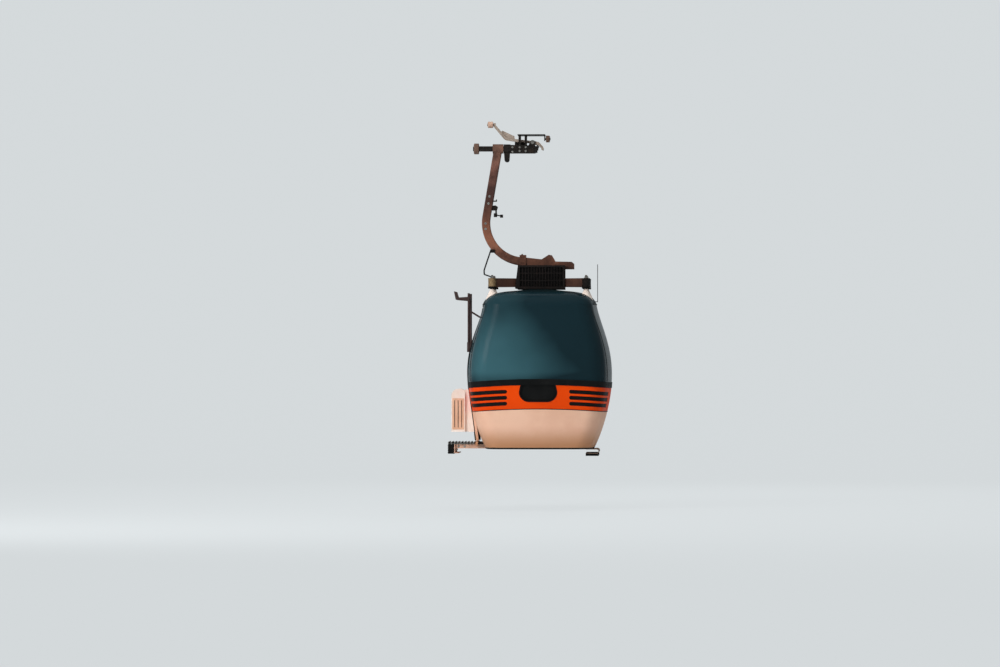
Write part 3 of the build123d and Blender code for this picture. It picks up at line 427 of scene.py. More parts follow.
def ribbed_rubber():
    """Floor matting: black rubber with fine ribs, grey with dust in the grooves."""
    material, tree, shader = new_material("ribbed rubber matting")
    place = add_node(tree, "ShaderNodeTexCoord").outputs["Object"]
    ribs = add_node(
        tree,
        "ShaderNodeTexWave",
        {"Scale": MAT_RIB_SCALE, "Distortion": 0.0},
        {"Vector": place},
        bands_direction="Y",
    ).outputs["Fac"]
    dust = add_node(
        tree, "ShaderNodeMix", {6: colour("#1B1C1C"), 7: colour("#3D3B38")}, {0: ribs}, data_type="RGBA"
    )
    tree.links.new(dust.outputs[2], shader.inputs["Base Color"])
    relief = add_node(
        tree, "ShaderNodeBump", {"Strength": 0.8, "Distance": MAT_RIB_HEIGHT}, {"Height": ribs}
    )
    tree.links.new(relief.outputs["Normal"], shader.inputs["Normal"])
    shader.inputs["Roughness"].default_value = 0.85
    return material


# Painted light and shade on the hanger, by height: lit copper on the low bend, shade up the middle and rosy
# brown at the top
HANGER_PAINTED_LIGHT = [
    (-1.85, "#54382E"),
    (-1.55, "#5E3F33"),
    (-1.36, "#8A5B47"),
    (-1.15, "#8C5A45"),
    (-0.98, "#6A4436"),
    (-0.7, "#4A302A"),
    (-0.45, "#46302B"),
    (-0.28, "#7C5549"),
    (0.06, "#80604F"),
]
# Columns: clean, shade, stain, patch mm, speck mm, stain share, roughness, metallic, specular, bump, and
# a foot colour of painted shade where there is one
FINISHES = {
    # Two-pack enamel, sprayed: even, with a soft shine that years of washing have dulled
    "orange enamel": ("#F54B00", "#EA4300", "#B8380A", 520, 6, 0.16, 0.42, 0.0, 0.12, 0.12),
    # The same enamel in cream, with painted shade: browner towards its foot, where the panel curves in away
    # from the light
    "cream enamel": ("#FACAAE", "#F0BB9E", "#CC9A76", 480, 6, 0.12, 0.48, 0.0, 0.12, 0.12, "#C48C66"),
    # Enamel on small boxes and feet: nearly white, with rain marks
    "pale enamel": ("#FFF0E5", "#F8DFCE", "#C09C84", 240, 5, 0.3, 0.46, 0.0, 0.2, 0.2),
    # Painted shade: the same enamel made warmer and darker on the baskets' slotted faces, and duller
    "basket face enamel": ("#F0C0A2", "#E6B293", "#B0826A", 200, 4, 0.35, 0.5, 0.0, 0.25, 0.2),
    # The same enamel under boots: rubbed, with rust at the edges
    "scuffed board enamel": ("#DDB29A", "#C6937A", "#80594A", 110, 4, 0.5, 0.5, 0.0, 0.2, 0.3),
    # Paint on a plate that rubs along the station's guide rail: dull and full of dust
    "dusty shoe paint": ("#A48A78", "#8D7262", "#5E4A3D", 120, 4, 0.55, 0.6, 0.0, 0.25, 0.4),
    # Dark enamel on the roof: smooth and deep, with a faint green cast
    "teal black roof enamel": ("#0F2024", "#162A2A", "#2C3A38", 500, 6, 0.12, 0.32, 0.0, 0.12, 0.06),
    # Extruded and moulded black parts, greyed where dust lies
    "black moulding": ("#0E0F0F", "#161616", "#2E2A27", 200, 3, 0.3, 0.5, 0.0, 0.12, 0.3),
    # Black rubber: matt, with a fine tooth that holds brown dust
    "moulded rubber": ("#141313", "#1C1A19", "#3A2F28", 120, 2, 0.4, 0.75, 0.0, 0.15, 0.5),
    # Old paint on thick steel: half shiny, rusting in long runs, with painted light and shade in bands by
    # height as its clean colour
    "rusty hanger paint with painted light": (HANGER_PAINTED_LIGHT, "#3E2A24", "#8A5C46", 260, 4, 0.35, 0.5, 0.0, 0.25, 0.5),
    # Brown paint on thin steel, dulled by skis
    "brown comb paint": ("#4A3B39", "#3A2D2B", "#604A42", 120, 3, 0.45, 0.55, 0.0, 0.2, 0.4),
    # Nearly black paint on frames and rods, with brown dust in its hollows
    "dark chassis paint": ("#181514", "#221B19", "#44322A", 140, 3, 0.4, 0.55, 0.0, 0.2, 0.4),
    # Cast steel under old grease
    "oiled casting": ("#2E2A28", "#3A3430", "#5A4638", 90, 2, 0.5, 0.42, 0.75, 0.5, 0.6),
    # Zinc and paint worn to a dusty beige
    "dusty galvanised steel": ("#B8A799", "#9A897C", "#5E5048", 90, 3, 0.45, 0.5, 0.35, 0.4, 0.5),
    # Bare turned steel: bright, with a fine grain
    "turned steel": ("#9A9690", "#86807A", "#6A5A4C", 60, 1, 0.4, 0.3, 1.0, 0.5, 0.2),
    # Cast polyurethane: satin brown, scuffed where it rolls
    "polymer tread": ("#735A4D", "#5F483D", "#3C2D26", 70, 2, 0.4, 0.6, 0.0, 0.25, 0.4),
    # The same tread, bleached by the sun to a dusty pink
    "bleached polymer tread": ("#C9A793", "#B08E7A", "#6E5548", 60, 2, 0.4, 0.6, 0.0, 0.25, 0.4),
    # Extruded aluminium left as it came: soft silver, dull in the hollows
    "mill finish alloy": ("#A9A7A2", "#95928D", "#6F675E", 150, 2, 0.4, 0.42, 0.9, 0.5, 0.3),
    # Moulded seat shells: a fine grain that scatters the light
    "grained grey plastic": ("#4A4B4D", "#414244", "#333230", 200, 2, 0.3, 0.55, 0.0, 0.35, 0.5),
    # Passivated zinc: a dull brass yellow
    "yellow zinc plating": ("#A98F6C", "#86694A", "#55402E", 70, 2, 0.4, 0.45, 0.5, 0.4, 0.3),
    # Wire in a black plastic coat: smooth and half matt
    "black coated wire": ("#121111", "#181615", "#2A231F", 60, 2, 0.3, 0.6, 0.0, 0.15, 0.2),
    # Hot-dip zinc, greyed by weather
    "galvanised steel": ("#BDB9B2", "#A8A49D", "#80756A", 60, 4, 0.4, 0.42, 0.85, 0.5, 0.3),
}
# Columns: material, then the nodes that carry it
DRESSED = {
    "orange enamel": ["front_band_panel", "rear_band_panel", "side_band_panel", "door_side_band_panels",
                      "door_band_front", "door_band_rear"],
    "cream enamel": ["front_lower_panel", "rear_lower_panel", "side_lower_panel",
                     "door_side_lower_panels", "door_skirt_front", "door_skirt_rear"],
    "pale enamel": ["damper_feet", "ski_basket_front", "ski_basket_rear"],
    "scuffed board enamel": ["step_beam"],
    "dusty shoe paint": ["guide_shoe"],
    "teal black roof enamel": ["roof_shell"],
    "black moulding": ["vent_strips", "end_recesses", "waist_gasket", "window_frame",
                       "door_frame_front", "door_frame_rear", "door_header"],
    "moulded rubber": ["dampers", "step_buffer", "guide_rubber"],
    "rusty hanger paint with painted light": ["hanger_arm", "hanger_beam", "crossbeams"],
    "brown comb paint": ["ski_comb_front", "ski_comb_rear"],
    "dark chassis paint": ["floor_pan", "cage_frame", "cage_mesh", "release_crank", "control_rod",
                           "antenna", "door_arm_front", "door_arm_rear"],
    "oiled casting": ["grip_frame", "spring_cups", "friction_plate", "grip_shaft"],
    "dusty galvanised steel": ["jaw_lever"],
    "polymer tread": ["outer_roller", "inner_roller"],
    "bleached polymer tread": ["lever_roller"],
    "mill finish alloy": ["step_grating", "seat_legs", "door_bearings"],
    "grained grey plastic": ["seats"],
    "tinted acrylic": ["front_window", "rear_window", "side_window", "quarter_windows",
                       "door_window_front", "door_window_rear"],
    "ribbed rubber matting": ["floor_mat"],
}


MATERIALS = {}


def build_materials():
    for name, columns in FINISHES.items():
        MATERIALS[name] = weathered(name, *columns)
    MATERIALS["tinted acrylic"] = tinted_pane()
    MATERIALS["ribbed rubber matting"] = ribbed_rubber()


def dress_nodes():
    for name, nodes in DRESSED.items():
        for node in nodes:
            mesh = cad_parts[node].data
            mesh.materials.clear()
            mesh.materials.append(MATERIALS[name])


# Small parts. A geometry tree places one shape at each point of a mesh
def growth_tree(name, sizes):
    """Geometry tree with a geometry input, a finish, named sizes and a geometry output."""
    tree = bpy.data.node_groups.new(name, "GeometryNodeTree")
    tree.interface.new_socket("Geometry", in_out="INPUT", socket_type="NodeSocketGeometry")
    tree.interface.new_socket("Finish", in_out="INPUT", socket_type="NodeSocketMaterial")
    for size in sizes:
        tree.interface.new_socket(size, in_out="INPUT", socket_type="NodeSocketFloat")
    tree.interface.new_socket("Geometry", in_out="OUTPUT", socket_type="NodeSocketGeometry")
    return tree, add_node(tree, "NodeGroupInput").outputs


def close_tree(tree, entry, shown):
    """Ends a tree with real geometry in the finish that was asked for."""
    real = add_node(tree, "GeometryNodeRealizeInstances", links={"Geometry": shown})
    painted = add_node(
        tree, "GeometryNodeSetMaterial", links={"Geometry": real.outputs[0], "Material": entry["Finish"]}
    )
    add_node(tree, "NodeGroupOutput", links={0: painted.outputs[0]})
    return tree


def bolt_shape(tree):
    """Hexagon head on a washer, with the bolt's end above it."""
    washer = add_node(tree, "GeometryNodeMeshCylinder", {"Vertices": 20, "Radius": 1.5, "Depth": 0.3})
    head = add_node(tree, "GeometryNodeMeshCylinder", {"Vertices": 6, "Radius": 1.0, "Depth": 0.8})
    tip_sizes = {"Vertices": 12, "Radius Top": 0.42, "Radius Bottom": 0.5, "Depth": 0.3}
    tip = add_node(tree, "GeometryNodeMeshCone", tip_sizes)
    joined = add_node(tree, "GeometryNodeJoinGeometry", links={0: washer.outputs["Mesh"]})
    for part, lift in ((head, 0.5), (tip, 0.9)):
        raised = add_node(
            tree,
            "GeometryNodeTransform",
            {"Translation": (0.0, 0.0, lift)},
            {"Geometry": part.outputs["Mesh"]},
        )
        tree.links.new(raised.outputs[0], joined.inputs[0])
    return joined.outputs[0]


def tube_shape(tree, line, sides, radius):
    """Round tube along a curve, closed at its ends."""
    profile = add_node(tree, "GeometryNodeCurvePrimitiveCircle", {"Resolution": sides, "Radius": radius})
    return add_node(
        tree,
        "GeometryNodeCurveToMesh",
        {"Fill Caps": True},
        {"Curve": line.outputs["Curve"], "Profile Curve": profile.outputs["Curve"]},
    ).outputs[0]


ROUND_SIDES = {"bar": 10, "drum": 36}
SPRING_TURNS = 4.5


def unit_shape(tree, kind):
    """Geometry of one shape, with its radius and its length both one."""
    if kind == "bolt":
        return bolt_shape(tree)
    if kind == "rivet":
        ball = add_node(tree, "GeometryNodeMeshUVSphere", {"Segments": 12, "Rings": 8, "Radius": 1.0})
        smooth = add_node(tree, "GeometryNodeSetShadeSmooth", links={"Geometry": ball.outputs["Mesh"]})
        return smooth.outputs[0]
    if kind == "block":
        return add_node(tree, "GeometryNodeMeshCube", {"Size": (1.0, 1.0, 1.0)}).outputs["Mesh"]
    if kind == "ring":
        circle = add_node(tree, "GeometryNodeCurvePrimitiveCircle", {"Resolution": 32, "Radius": 1.0})
        return tube_shape(tree, circle, 10, 0.16)
    if kind == "coil":
        turns = {"Rotations": SPRING_TURNS, "Start Radius": 1.0, "End Radius": 1.0, "Height": 1.0}
        spiral = add_node(tree, "GeometryNodeCurveSpiral", {"Resolution": 24, **turns})
        return tube_shape(tree, spiral, 8, 0.17)
    sizes = {"Vertices": ROUND_SIDES[kind], "Radius": 1.0, "Depth": 1.0}
    return add_node(tree, "GeometryNodeMeshCylinder", sizes).outputs["Mesh"]


def shape_tree(kind):
    """Tree that puts a bolt, rivet, bar, drum, block, ring or coil on every point.

    A point's span holds the shape's radii and length, and its facing the way it stands."""
    tree, entry = growth_tree(kind, [])
    shape = unit_shape(tree, kind)
    facing = add_node(tree, "GeometryNodeInputNamedAttribute", {"Name": "facing"}, data_type="FLOAT_VECTOR")
    turned = add_node(
        tree,
        "FunctionNodeAlignRotationToVector",
        links={"Vector": facing.outputs["Attribute"]},
        axis="Z",
    )
    span = add_node(tree, "GeometryNodeInputNamedAttribute", {"Name": "span"}, data_type="FLOAT_VECTOR")
    placed = add_node(
        tree,
        "GeometryNodeInstanceOnPoints",
        links={
            "Points": entry["Geometry"],
            "Instance": shape,
            "Rotation": turned.outputs["Rotation"],
            "Scale": span.outputs["Attribute"],
        },
    )
    return close_tree(tree, entry, placed.outputs[0])


def bead_tree():
    """Tree that lays a round bead along the edges of a mesh."""
    tree, entry = growth_tree("bead", ["Radius"])
    curve = add_node(tree, "GeometryNodeMeshToCurve", links={"Mesh": entry["Geometry"]})
    profile = add_node(
        tree, "GeometryNodeCurvePrimitiveCircle", {"Resolution": 8}, {"Radius": entry["Radius"]}
    )
    tube = add_node(
        tree,
        "GeometryNodeCurveToMesh",
        {"Fill Caps": True},
        {"Curve": curve.outputs[0], "Profile Curve": profile.outputs["Curve"]},
    )
    smooth = add_node(tree, "GeometryNodeSetShadeSmooth", links={"Geometry": tube.outputs[0]})
    return close_tree(tree, entry, smooth.outputs[0])


TREES = {}


def grow(name, body, seed, tree, finish, sizes=None):
    """Runs a tree on a mesh, keeps the result as a plain piece and lets it ride on a body."""
    holder = bpy.data.objects.new(name + "_seed", seed)
    show(holder)
    modifier = holder.modifiers.new("growth", "NODES")
    modifier.node_group = tree
    given = {"Finish": MATERIALS[finish], **(sizes or {})}
    for item in tree.interface.items_tree:
        if item.in_out == "INPUT" and item.name in given:
            modifier[item.identifier] = given[item.name]
    grown = holder.evaluated_get(bpy.context.evaluated_depsgraph_get())
    mesh = bpy.data.meshes.new_from_object(grown)
    bpy.data.objects.remove(holder)
    mesh.name = name
    piece = bpy.data.objects.new(name, mesh)
    show(piece)
    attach(piece, body)
    return piece


def repeat(name, body, finish, kind, rows):
    """One shape at each row. Columns: point in metres, facing, span in millimetres."""
    if kind not in TREES:
        TREES[kind] = shape_tree(kind)
    seed = bpy.data.meshes.new(name + "_points")
    seed.from_pydata([row[0] for row in rows], [], [])
    facing = seed.attributes.new("facing", "FLOAT_VECTOR", "POINT")
    facing.data.foreach_set("vector", [c for row in rows for c in row[1]])
    span = seed.attributes.new("span", "FLOAT_VECTOR", "POINT")
    span.data.foreach_set("vector", [c * MM for row in rows for c in row[2]])
    return grow(name, body, seed, TREES[kind], finish)


def lay_bead(name, body, finish, runs, radius_mm):
    """Round rubber or metal bead along one or more runs of points."""
    if "bead" not in TREES:
        TREES["bead"] = bead_tree()
    points = []
    edges = []
    for run in runs:
        first = len(points)
        points.extend(run)
        edges.extend((first + i, first + i + 1) for i in range(len(run) - 1))
    seed = bpy.data.meshes.new(name + "_run")
    seed.from_pydata(points, edges, [])
    return grow(name, body, seed, TREES["bead"], finish, {"Radius": radius_mm * MM})


# Places on the cabin's surface, found by lines that start well outside it
OUTSIDE = 3
SURFACES = {}


def surface_of(*nodes):
    """Search tree over the meshes of CAD nodes."""
    if nodes not in SURFACES:
        points = []
        faces = []
        for node in nodes:
            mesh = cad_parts[node].data
            first = len(points)
            points.extend(v.co.copy() for v in mesh.vertices)
            faces.extend([first + i for i in face.vertices] for face in mesh.polygons)
        SURFACES[nodes] = BVHTree.FromPolygons(points, faces)
    return SURFACES[nodes]


def hit(surface, start, direction):
    """First point of a surface on a line, and its normal."""
    place, normal, _, _ = surface.ray_cast(Vector(start), Vector(direction).normalized())
    return place, normal


def side_run(nodes, x_sign, places, beside, above):
    """Points on the cabin's side at places in Y and Z, each searched for a little beside or above it."""
    surface = surface_of(*nodes)
    run = []
    for y, z in places:
        place, _ = hit(surface, (x_sign * OUTSIDE, y + beside, z + above), (-x_sign, 0, 0))
        if place is not None:
            run.append((place.x, y, z))
    return run


def seam_run(x_sign, y, heights, steps, nodes, aside):
    """Points up the cabin's side at one Y, each searched for a little farther from the middle."""
    low, high = heights
    places = [(y, level(low + (high - low) * index / steps)) for index in range(steps + 1)]
    return side_run(nodes, x_sign, places, beside=math.copysign(aside, y), above=0)


ARCH_SAG = 45
ARCH_HALF = 953
ARCH_ROUNDS = 3


def arch_level(height_mm, x):
    """Z of a moulding line that sags towards the sides."""
    return level(height_mm - ARCH_SAG * (x * MM_IN_METRE / ARCH_HALF) ** 2)


# Bearings in degrees from the front, round by the door side
DOORWAY = (66, 114)


def bearing_way(bearing):
    """Level direction out of the cabin at a bearing."""
    angle = math.radians(bearing)
    return Vector((-math.sin(angle), -math.cos(angle), 0))


def girdle(surface, height_mm, margin, step, lift_mm):
    """Points on a moulding line all round the cabin, from one side of the doorway to the other."""
    run = []
    bearing = DOORWAY[1] + margin
    while bearing <= DOORWAY[0] + 360 - margin:
        out = bearing_way(bearing)
        z = level(height_mm)
        place = None
        for _ in range(ARCH_ROUNDS):
            place, _ = hit(surface, out * OUTSIDE + Vector((0, 0, z + lift_mm * MM)), -out)
            if place is None:
                break
            z = arch_level(height_mm, place.x)
        if place is not None:
            run.append((place.x, place.y, z))
        bearing += step
    return run


# Cabin trim: seals, edge beads and rivets. Heights and radii are in millimetres
GLASS = ("front_window", "rear_window", "side_window", "quarter_windows")
BANDS = ("front_band_panel", "rear_band_panel", "side_band_panel", "door_side_band_panels")
LOWER_PANELS = ("front_lower_panel", "rear_lower_panel", "side_lower_panel", "door_side_lower_panels")
SEAM_Y = 0.72
SEAM_HEIGHTS = (885, 1890)
SEAM_STEPS = 24
SEAM_ASIDE = 0.012
SEAM_RADIUS = 7
ROOF_EDGE = 1895
ROOF_EDGE_HALF = 0.6
ROOF_EDGE_STEPS = 20
ROOF_EDGE_SEARCH = 0.004
ROOF_EDGE_RADIUS = 8
BAND_FOOT = 528
TRIM_RADIUS = 5
WAIST_RIVETS = 879
WAIST_RIVET = (7, 7, 3.5)
LOWER_RIVETS = 52
LOWER_RIVET_COUNT = 44
LOWER_RIVET_MARGIN = 4
LOWER_RIVET = (6, 6, 2.5)


def build_window_seams():
    seams = []
    for x_sign in (-1, 1):
        for y in (-SEAM_Y, SEAM_Y):
            seams.append(seam_run(x_sign, y, SEAM_HEIGHTS, SEAM_STEPS, GLASS, SEAM_ASIDE))
    lay_bead("window_seam_beads", "cabin", "black moulding", seams, SEAM_RADIUS)


def build_roof_edges():
    places = []
    for index in range(ROOF_EDGE_STEPS + 1):
        y = -ROOF_EDGE_HALF + 2 * ROOF_EDGE_HALF * index / ROOF_EDGE_STEPS
        places.append((y, level(ROOF_EDGE)))
    edges = []
    for x_sign in (-1, 1):
        edges.append(side_run(("roof_shell",), x_sign, places, beside=0, above=ROOF_EDGE_SEARCH))
    lay_bead("roof_edge_seals", "cabin", "black moulding", edges, ROOF_EDGE_RADIUS)


def build_band_trim():
    foot = girdle(surface_of(*BANDS), BAND_FOOT, margin=2, step=3, lift_mm=4)
    lay_bead("band_lower_trim", "cabin", "black moulding", [foot], TRIM_RADIUS)


def build_rivets():
    rivets = []
    for place in girdle(surface_of("waist_gasket"), WAIST_RIVETS, margin=3, step=7.5, lift_mm=0):
        out = Vector((place[0], place[1], 0)).normalized()
        rivets.append((place, out, WAIST_RIVET))
    repeat("waist_rivets", "cabin", "black moulding", "rivet", rivets)

    first = DOORWAY[1] + LOWER_RIVET_MARGIN
    last = DOORWAY[0] + 360 - LOWER_RIVET_MARGIN
    rivets = []
    for index in range(LOWER_RIVET_COUNT):
        out = bearing_way(first + (last - first) * index / (LOWER_RIVET_COUNT - 1))
        start = out * OUTSIDE + Vector((0, 0, level(LOWER_RIVETS)))
        place, normal = hit(surface_of(*LOWER_PANELS), start, -out)
        if place is not None:
            rivets.append((place, normal, LOWER_RIVET))
    repeat("lower_panel_rivets", "cabin", "cream enamel", "rivet", rivets)


LEAF_HEIGHTS = (112, 1845)
LEAF_STEPS = 40
LEAF_ASIDE = 0.004
LEAF_SEAL_RADIUS = 8
# Distances of a leaf's edges from the door's middle
LEAF_EDGES = (0.009, 0.424)
LEAF_TRIM_FROM = 0.008
LEAF_TRIM_WIDE = 0.418
LEAF_TRIM_STEPS = 10
LEAF_TRIM_SEARCH = 498


def build_door_seals():
    for end, sign in (("front", -1), ("rear", 1)):
        nodes = tuple(f"door_{part}_{end}" for part in ("skirt", "band", "frame", "window"))
        runs = []
        for y in LEAF_EDGES:
            runs.append(seam_run(-1, sign * y, LEAF_HEIGHTS, LEAF_STEPS, nodes, LEAF_ASIDE))
        lay_bead(f"door_edge_seals_{end}", f"leaf_{end}", "moulded rubber", runs, LEAF_SEAL_RADIUS)
        band = surface_of(f"door_band_{end}")
        run = []
        for index in range(LEAF_TRIM_STEPS + 1):
            y = sign * (LEAF_TRIM_FROM + LEAF_TRIM_WIDE * index / LEAF_TRIM_STEPS)
            place, _ = hit(band, (-OUTSIDE, y, level(LEAF_TRIM_SEARCH)), ACROSS)
            if place is not None:
                run.append((place.x, y, arch_level(BAND_FOOT, place.x)))
        lay_bead(f"door_band_trim_{end}", f"leaf_{end}", "black moulding", [run], TRIM_RADIUS)


# Hanger fittings. A fitting's own size is its span in millimetres, as repeat takes it
ARM_FACE_Y = 0.04
# Columns: X and Z of the pale bolts on each face of the arm
ARM_BOLTS_AT = [(-0.664, -0.628), (-0.678, -0.721), (-0.716, -0.986), (-0.716, -1.057)]
ARM_BOLT = (11, 11, 11)
COLLAR_FACE_Y = 0.066
COLLAR_BOLT_X = (-0.247, -0.219)
COLLAR_BOLT_Z = (-1.43, -1.5, -1.57)
COLLAR_BOLT = (8, 8, 9)
COLLAR_TOP_X = -0.233
COLLAR_TOP_Y = 0.045
COLLAR_TOP_Z = -1.401
COLLAR_TOP_BOLT = (10, 10, 12)
DAMPER_X = 0.616
DAMPER_Y = 0.43
CROSS_TOP = -1.712
CROSS_BOTTOM = -1.822
# Columns: lift over the crossbeam, and the nut's span
DAMPER_NUTS = [(0.004, (19, 19, 18)), (0.024, (16, 16, 10))]
RUBBER_RIB_DROPS = (0.007, 0.0145, 0.022)
RUBBER_RIB = (49, 49, 30)
SLEEVE = (51.5, 51.5, 92)
SLEEVE_RIM = (54, 54, 12)
SLEEVE_RIM_INSET = 0.008


def damper_places():
    """X and Y of the four dampers."""
    return [(x, y) for y in (-DAMPER_Y, DAMPER_Y) for x in (-DAMPER_X, DAMPER_X)]


def build_hanger_fittings():
    bolts = []
    for x, z in ARM_BOLTS_AT:
        for sign in (-1, 1):
            bolts.append(((x, sign * ARM_FACE_Y, z), (0, sign, 0), ARM_BOLT))
    repeat("arm_bolts", "cabin", "galvanised steel", "bolt", bolts)

    bolts = []
    for sign in (-1, 1):
        for z in COLLAR_BOLT_Z:
            for x in COLLAR_BOLT_X:
                bolts.append(((x, sign * COLLAR_FACE_Y, z), (0, sign, 0), COLLAR_BOLT))
    for y in (-COLLAR_TOP_Y, COLLAR_TOP_Y):
        bolts.append(((COLLAR_TOP_X, y, COLLAR_TOP_Z), UP, COLLAR_TOP_BOLT))
    repeat("collar_bolts", "cabin", "rusty hanger paint with painted light", "bolt", bolts)

    nuts = []
    ribs = []
    for x, y in damper_places():
        nuts += [((x, y, CROSS_TOP + lift), UP, span) for lift, span in DAMPER_NUTS]
        ribs += [((x, y, CROSS_BOTTOM - drop), UP, RUBBER_RIB) for drop in RUBBER_RIB_DROPS]
    repeat("damper_nuts", "cabin", "galvanised steel", "bolt", nuts)
    repeat("damper_rubber_ribs", "cabin", "moulded rubber", "ring", ribs)

    for name, side, finish in (
        ("plated_damper_sleeves", -1, "yellow zinc plating"),
        ("black_damper_sleeves", 1, "dark chassis paint"),
    ):
        rows = []
        for x, y in damper_places():
            if x * side > 0:
                rows.append(((x, y, (CROSS_TOP + CROSS_BOTTOM) / 2), UP, SLEEVE))
                for z in (CROSS_TOP - SLEEVE_RIM_INSET, CROSS_BOTTOM + SLEEVE_RIM_INSET):
                    rows.append(((x, y, z), UP, SLEEVE_RIM))
        repeat(name, "cabin", finish, "drum", rows)


# Corners of the control rod's run, how far each corner is rounded, and the sleeve's radius in millimetres
ROD_ROUTE = [
    (-0.65, -0.046, -1.35),
    (-0.732, -0.14, -1.605),
    (-0.727, -0.2, -1.66),
    (-0.628, -0.392, -1.695),
]
ROD_ROUND = 0.009
ROD_SLEEVE = 9.5


def rounded_run(corners, reach):
    """Run of points through corners, with each one but the ends cut round."""
    run = [Vector(corners[0])]
    for before, corner, after in zip(corners, corners[1:], corners[2:]):
        corner = Vector(corner)
        start = corner + (Vector(before) - corner).normalized() * reach
        end = corner + (Vector(after) - corner).normalized() * reach
        run += [start, (start + end + 2 * corner) / 4, end]
    run.append(Vector(corners[-1]))
    return run


def build_rod_sleeve():
    run = rounded_run(ROD_ROUTE, ROD_ROUND)
    lay_bead("control_rod_sleeve", "cabin", "black coated wire", [run], ROD_SLEEVE)


# Cage guards. Wires stand off the frame's Y faces, and the lying ones are outside the upright ones
CAGE_X = (-0.258, 0.308)
CAGE_Y = 0.265
CAGE_Z = (-1.822, -1.565)
SPACES_ACROSS = 46
SPACES_ALONG = 43
SPACES_UP = 21
UPRIGHT_OFF = 0.006
LYING_OFF = 0.009
# Radii of the wires in millimetres
UPRIGHT_WIRE = 3.2
LYING_WIRE = 2.6
SHROUD_INSET = 0.014
# How thick the sheets are, and how much shorter than the cage, in millimetres
SHROUD_THICK = 2
SHROUD_SHORT = 30
MAT_X = 0.023
MAT_DROP = 0.0305
MAT_SPAN = (620, 570, 11)


def build_cage_guards():
    """Close wire mesh on the cage's four sides, with dark sheets behind it and a mat under it."""
    left, right = CAGE_X
    bottom, top = CAGE_Z
    middle_x = (left + right) / 2
    middle_z = (bottom + top) / 2
    wide = (right - left) * MM_IN_METRE
    deep = 2 * CAGE_Y * MM_IN_METRE
    high = (top - bottom) * MM_IN_METRE
    rows = []
    for index in range(SPACES_ACROSS + 1):
        x = left + (right - left) * index / SPACES_ACROSS
        for y in (-CAGE_Y - UPRIGHT_OFF, CAGE_Y + UPRIGHT_OFF):
            rows.append(((x, y, middle_z), UP, (UPRIGHT_WIRE, UPRIGHT_WIRE, high)))
    for index in range(SPACES_ALONG + 1):
        y = -CAGE_Y + 2 * CAGE_Y * index / SPACES_ALONG
        for x in CAGE_X:
            rows.append(((x, y, middle_z), UP, (UPRIGHT_WIRE, UPRIGHT_WIRE, high)))
    for index in range(SPACES_UP + 1):
        z = bottom + (top - bottom) * index / SPACES_UP
        for y in (-CAGE_Y - LYING_OFF, CAGE_Y + LYING_OFF):
            rows.append(((middle_x, y, z), ACROSS, (LYING_WIRE, LYING_WIRE, wide)))
        for x in CAGE_X:
            rows.append(((x, 0, z), ALONG_ROPE, (LYING_WIRE, LYING_WIRE, deep)))
    repeat("cage_guard_wires", "cabin", "black coated wire", "bar", rows)
    sheets = []
    for y in (-CAGE_Y + SHROUD_INSET, CAGE_Y - SHROUD_INSET):
        sheets.append(((middle_x, y, middle_z), UP, (wide - SHROUD_SHORT, SHROUD_THICK, high)))
    for x in (left + SHROUD_INSET, right - SHROUD_INSET):
        sheets.append(((x, 0, middle_z), UP, (SHROUD_THICK, deep - SHROUD_SHORT, high)))
    repeat("cage_shroud_sheets", "cabin", "black moulding", "block", sheets)
    mat = ((MAT_X, 0, bottom - MAT_DROP), UP, MAT_SPAN)
    repeat("cage_base_mat", "cabin", "moulded rubber", "block", [mat])


# Grip fittings
JAW_SPRINGS = [("outer_jaw_spring", -0.3), ("inner_jaw_spring", -0.225)]
SPRING_SPAN = (27, 27, 40)
CHEEK_Y = 0.082
# Columns: X and Z of the bolts on each cheek
CHEEK_BOLTS_AT = [
    (-0.36, 0.02),
    (-0.36, -0.04),
    (-0.265, -0.03),
    (-0.185, -0.03),
    (-0.265, 0.02),
    (-0.185, 0.02),
]
CHEEK_BOLT = (9, 9, 9)
PIVOT_X = -0.095
PIVOT_Z = 0.085
PIVOT_BOLT = (16, 16, 11)
LINING_TOP = 0.1855
LINING_X = (-0.26, -0.14, -0.02, 0.045)
LINING_Y = (-0.18, -0.06, 0.06, 0.18)
LINING_SCREW = (7, 7, 1.6)
# Columns: body, X of the hub's face, Z of the axle, radius in millimetres
WHEELS = [
    ("outer_wheel", -0.8695, 0, 71.5),
    ("lever_wheel", -0.6845, 0.318, 42),
    ("inner_wheel", 0.13, 0.13, 45),
]
HUB_SCREWS = 5
HUB_SCREW_START = 18
# Share of the radius at which the screws stand
HUB_SCREW_RING = 0.66
HUB_SCREW = (4.5, 4.5, 4)


def build_grip_fittings():
    for name, x in JAW_SPRINGS:
        spring = repeat(name, "grip", "oiled casting", "coil", [((x, 0, 0.046), UP, SPRING_SPAN)])
        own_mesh(spring)
    bolts = []
    for sign in (-1, 1):
        for x, z in CHEEK_BOLTS_AT:
            bolts.append(((x, sign * CHEEK_Y, z), (0, sign, 0), CHEEK_BOLT))
        bolts.append(((PIVOT_X, sign * CHEEK_Y, PIVOT_Z), (0, sign, 0), PIVOT_BOLT))
    repeat("cheek_bolts", "grip", "galvanised steel", "bolt", bolts)
    screws = [((x, y, LINING_TOP), UP, LINING_SCREW) for x in LINING_X for y in LINING_Y]
    repeat("lining_screws", "grip", "turned steel", "rivet", screws)
    for body, x, z, radius in WHEELS:
        side = 1 if x > 0 else -1
        ring = radius * HUB_SCREW_RING * MM
        rows = []
        for step in range(HUB_SCREWS):
            angle = math.radians(360 / HUB_SCREWS * step + HUB_SCREW_START)
            place = (x, ring * math.sin(angle), z + ring * math.cos(angle))
            rows.append((place, (side, 0, 0), HUB_SCREW))
        repeat(f"{body}_screws", body, "galvanised steel", "bolt", rows)


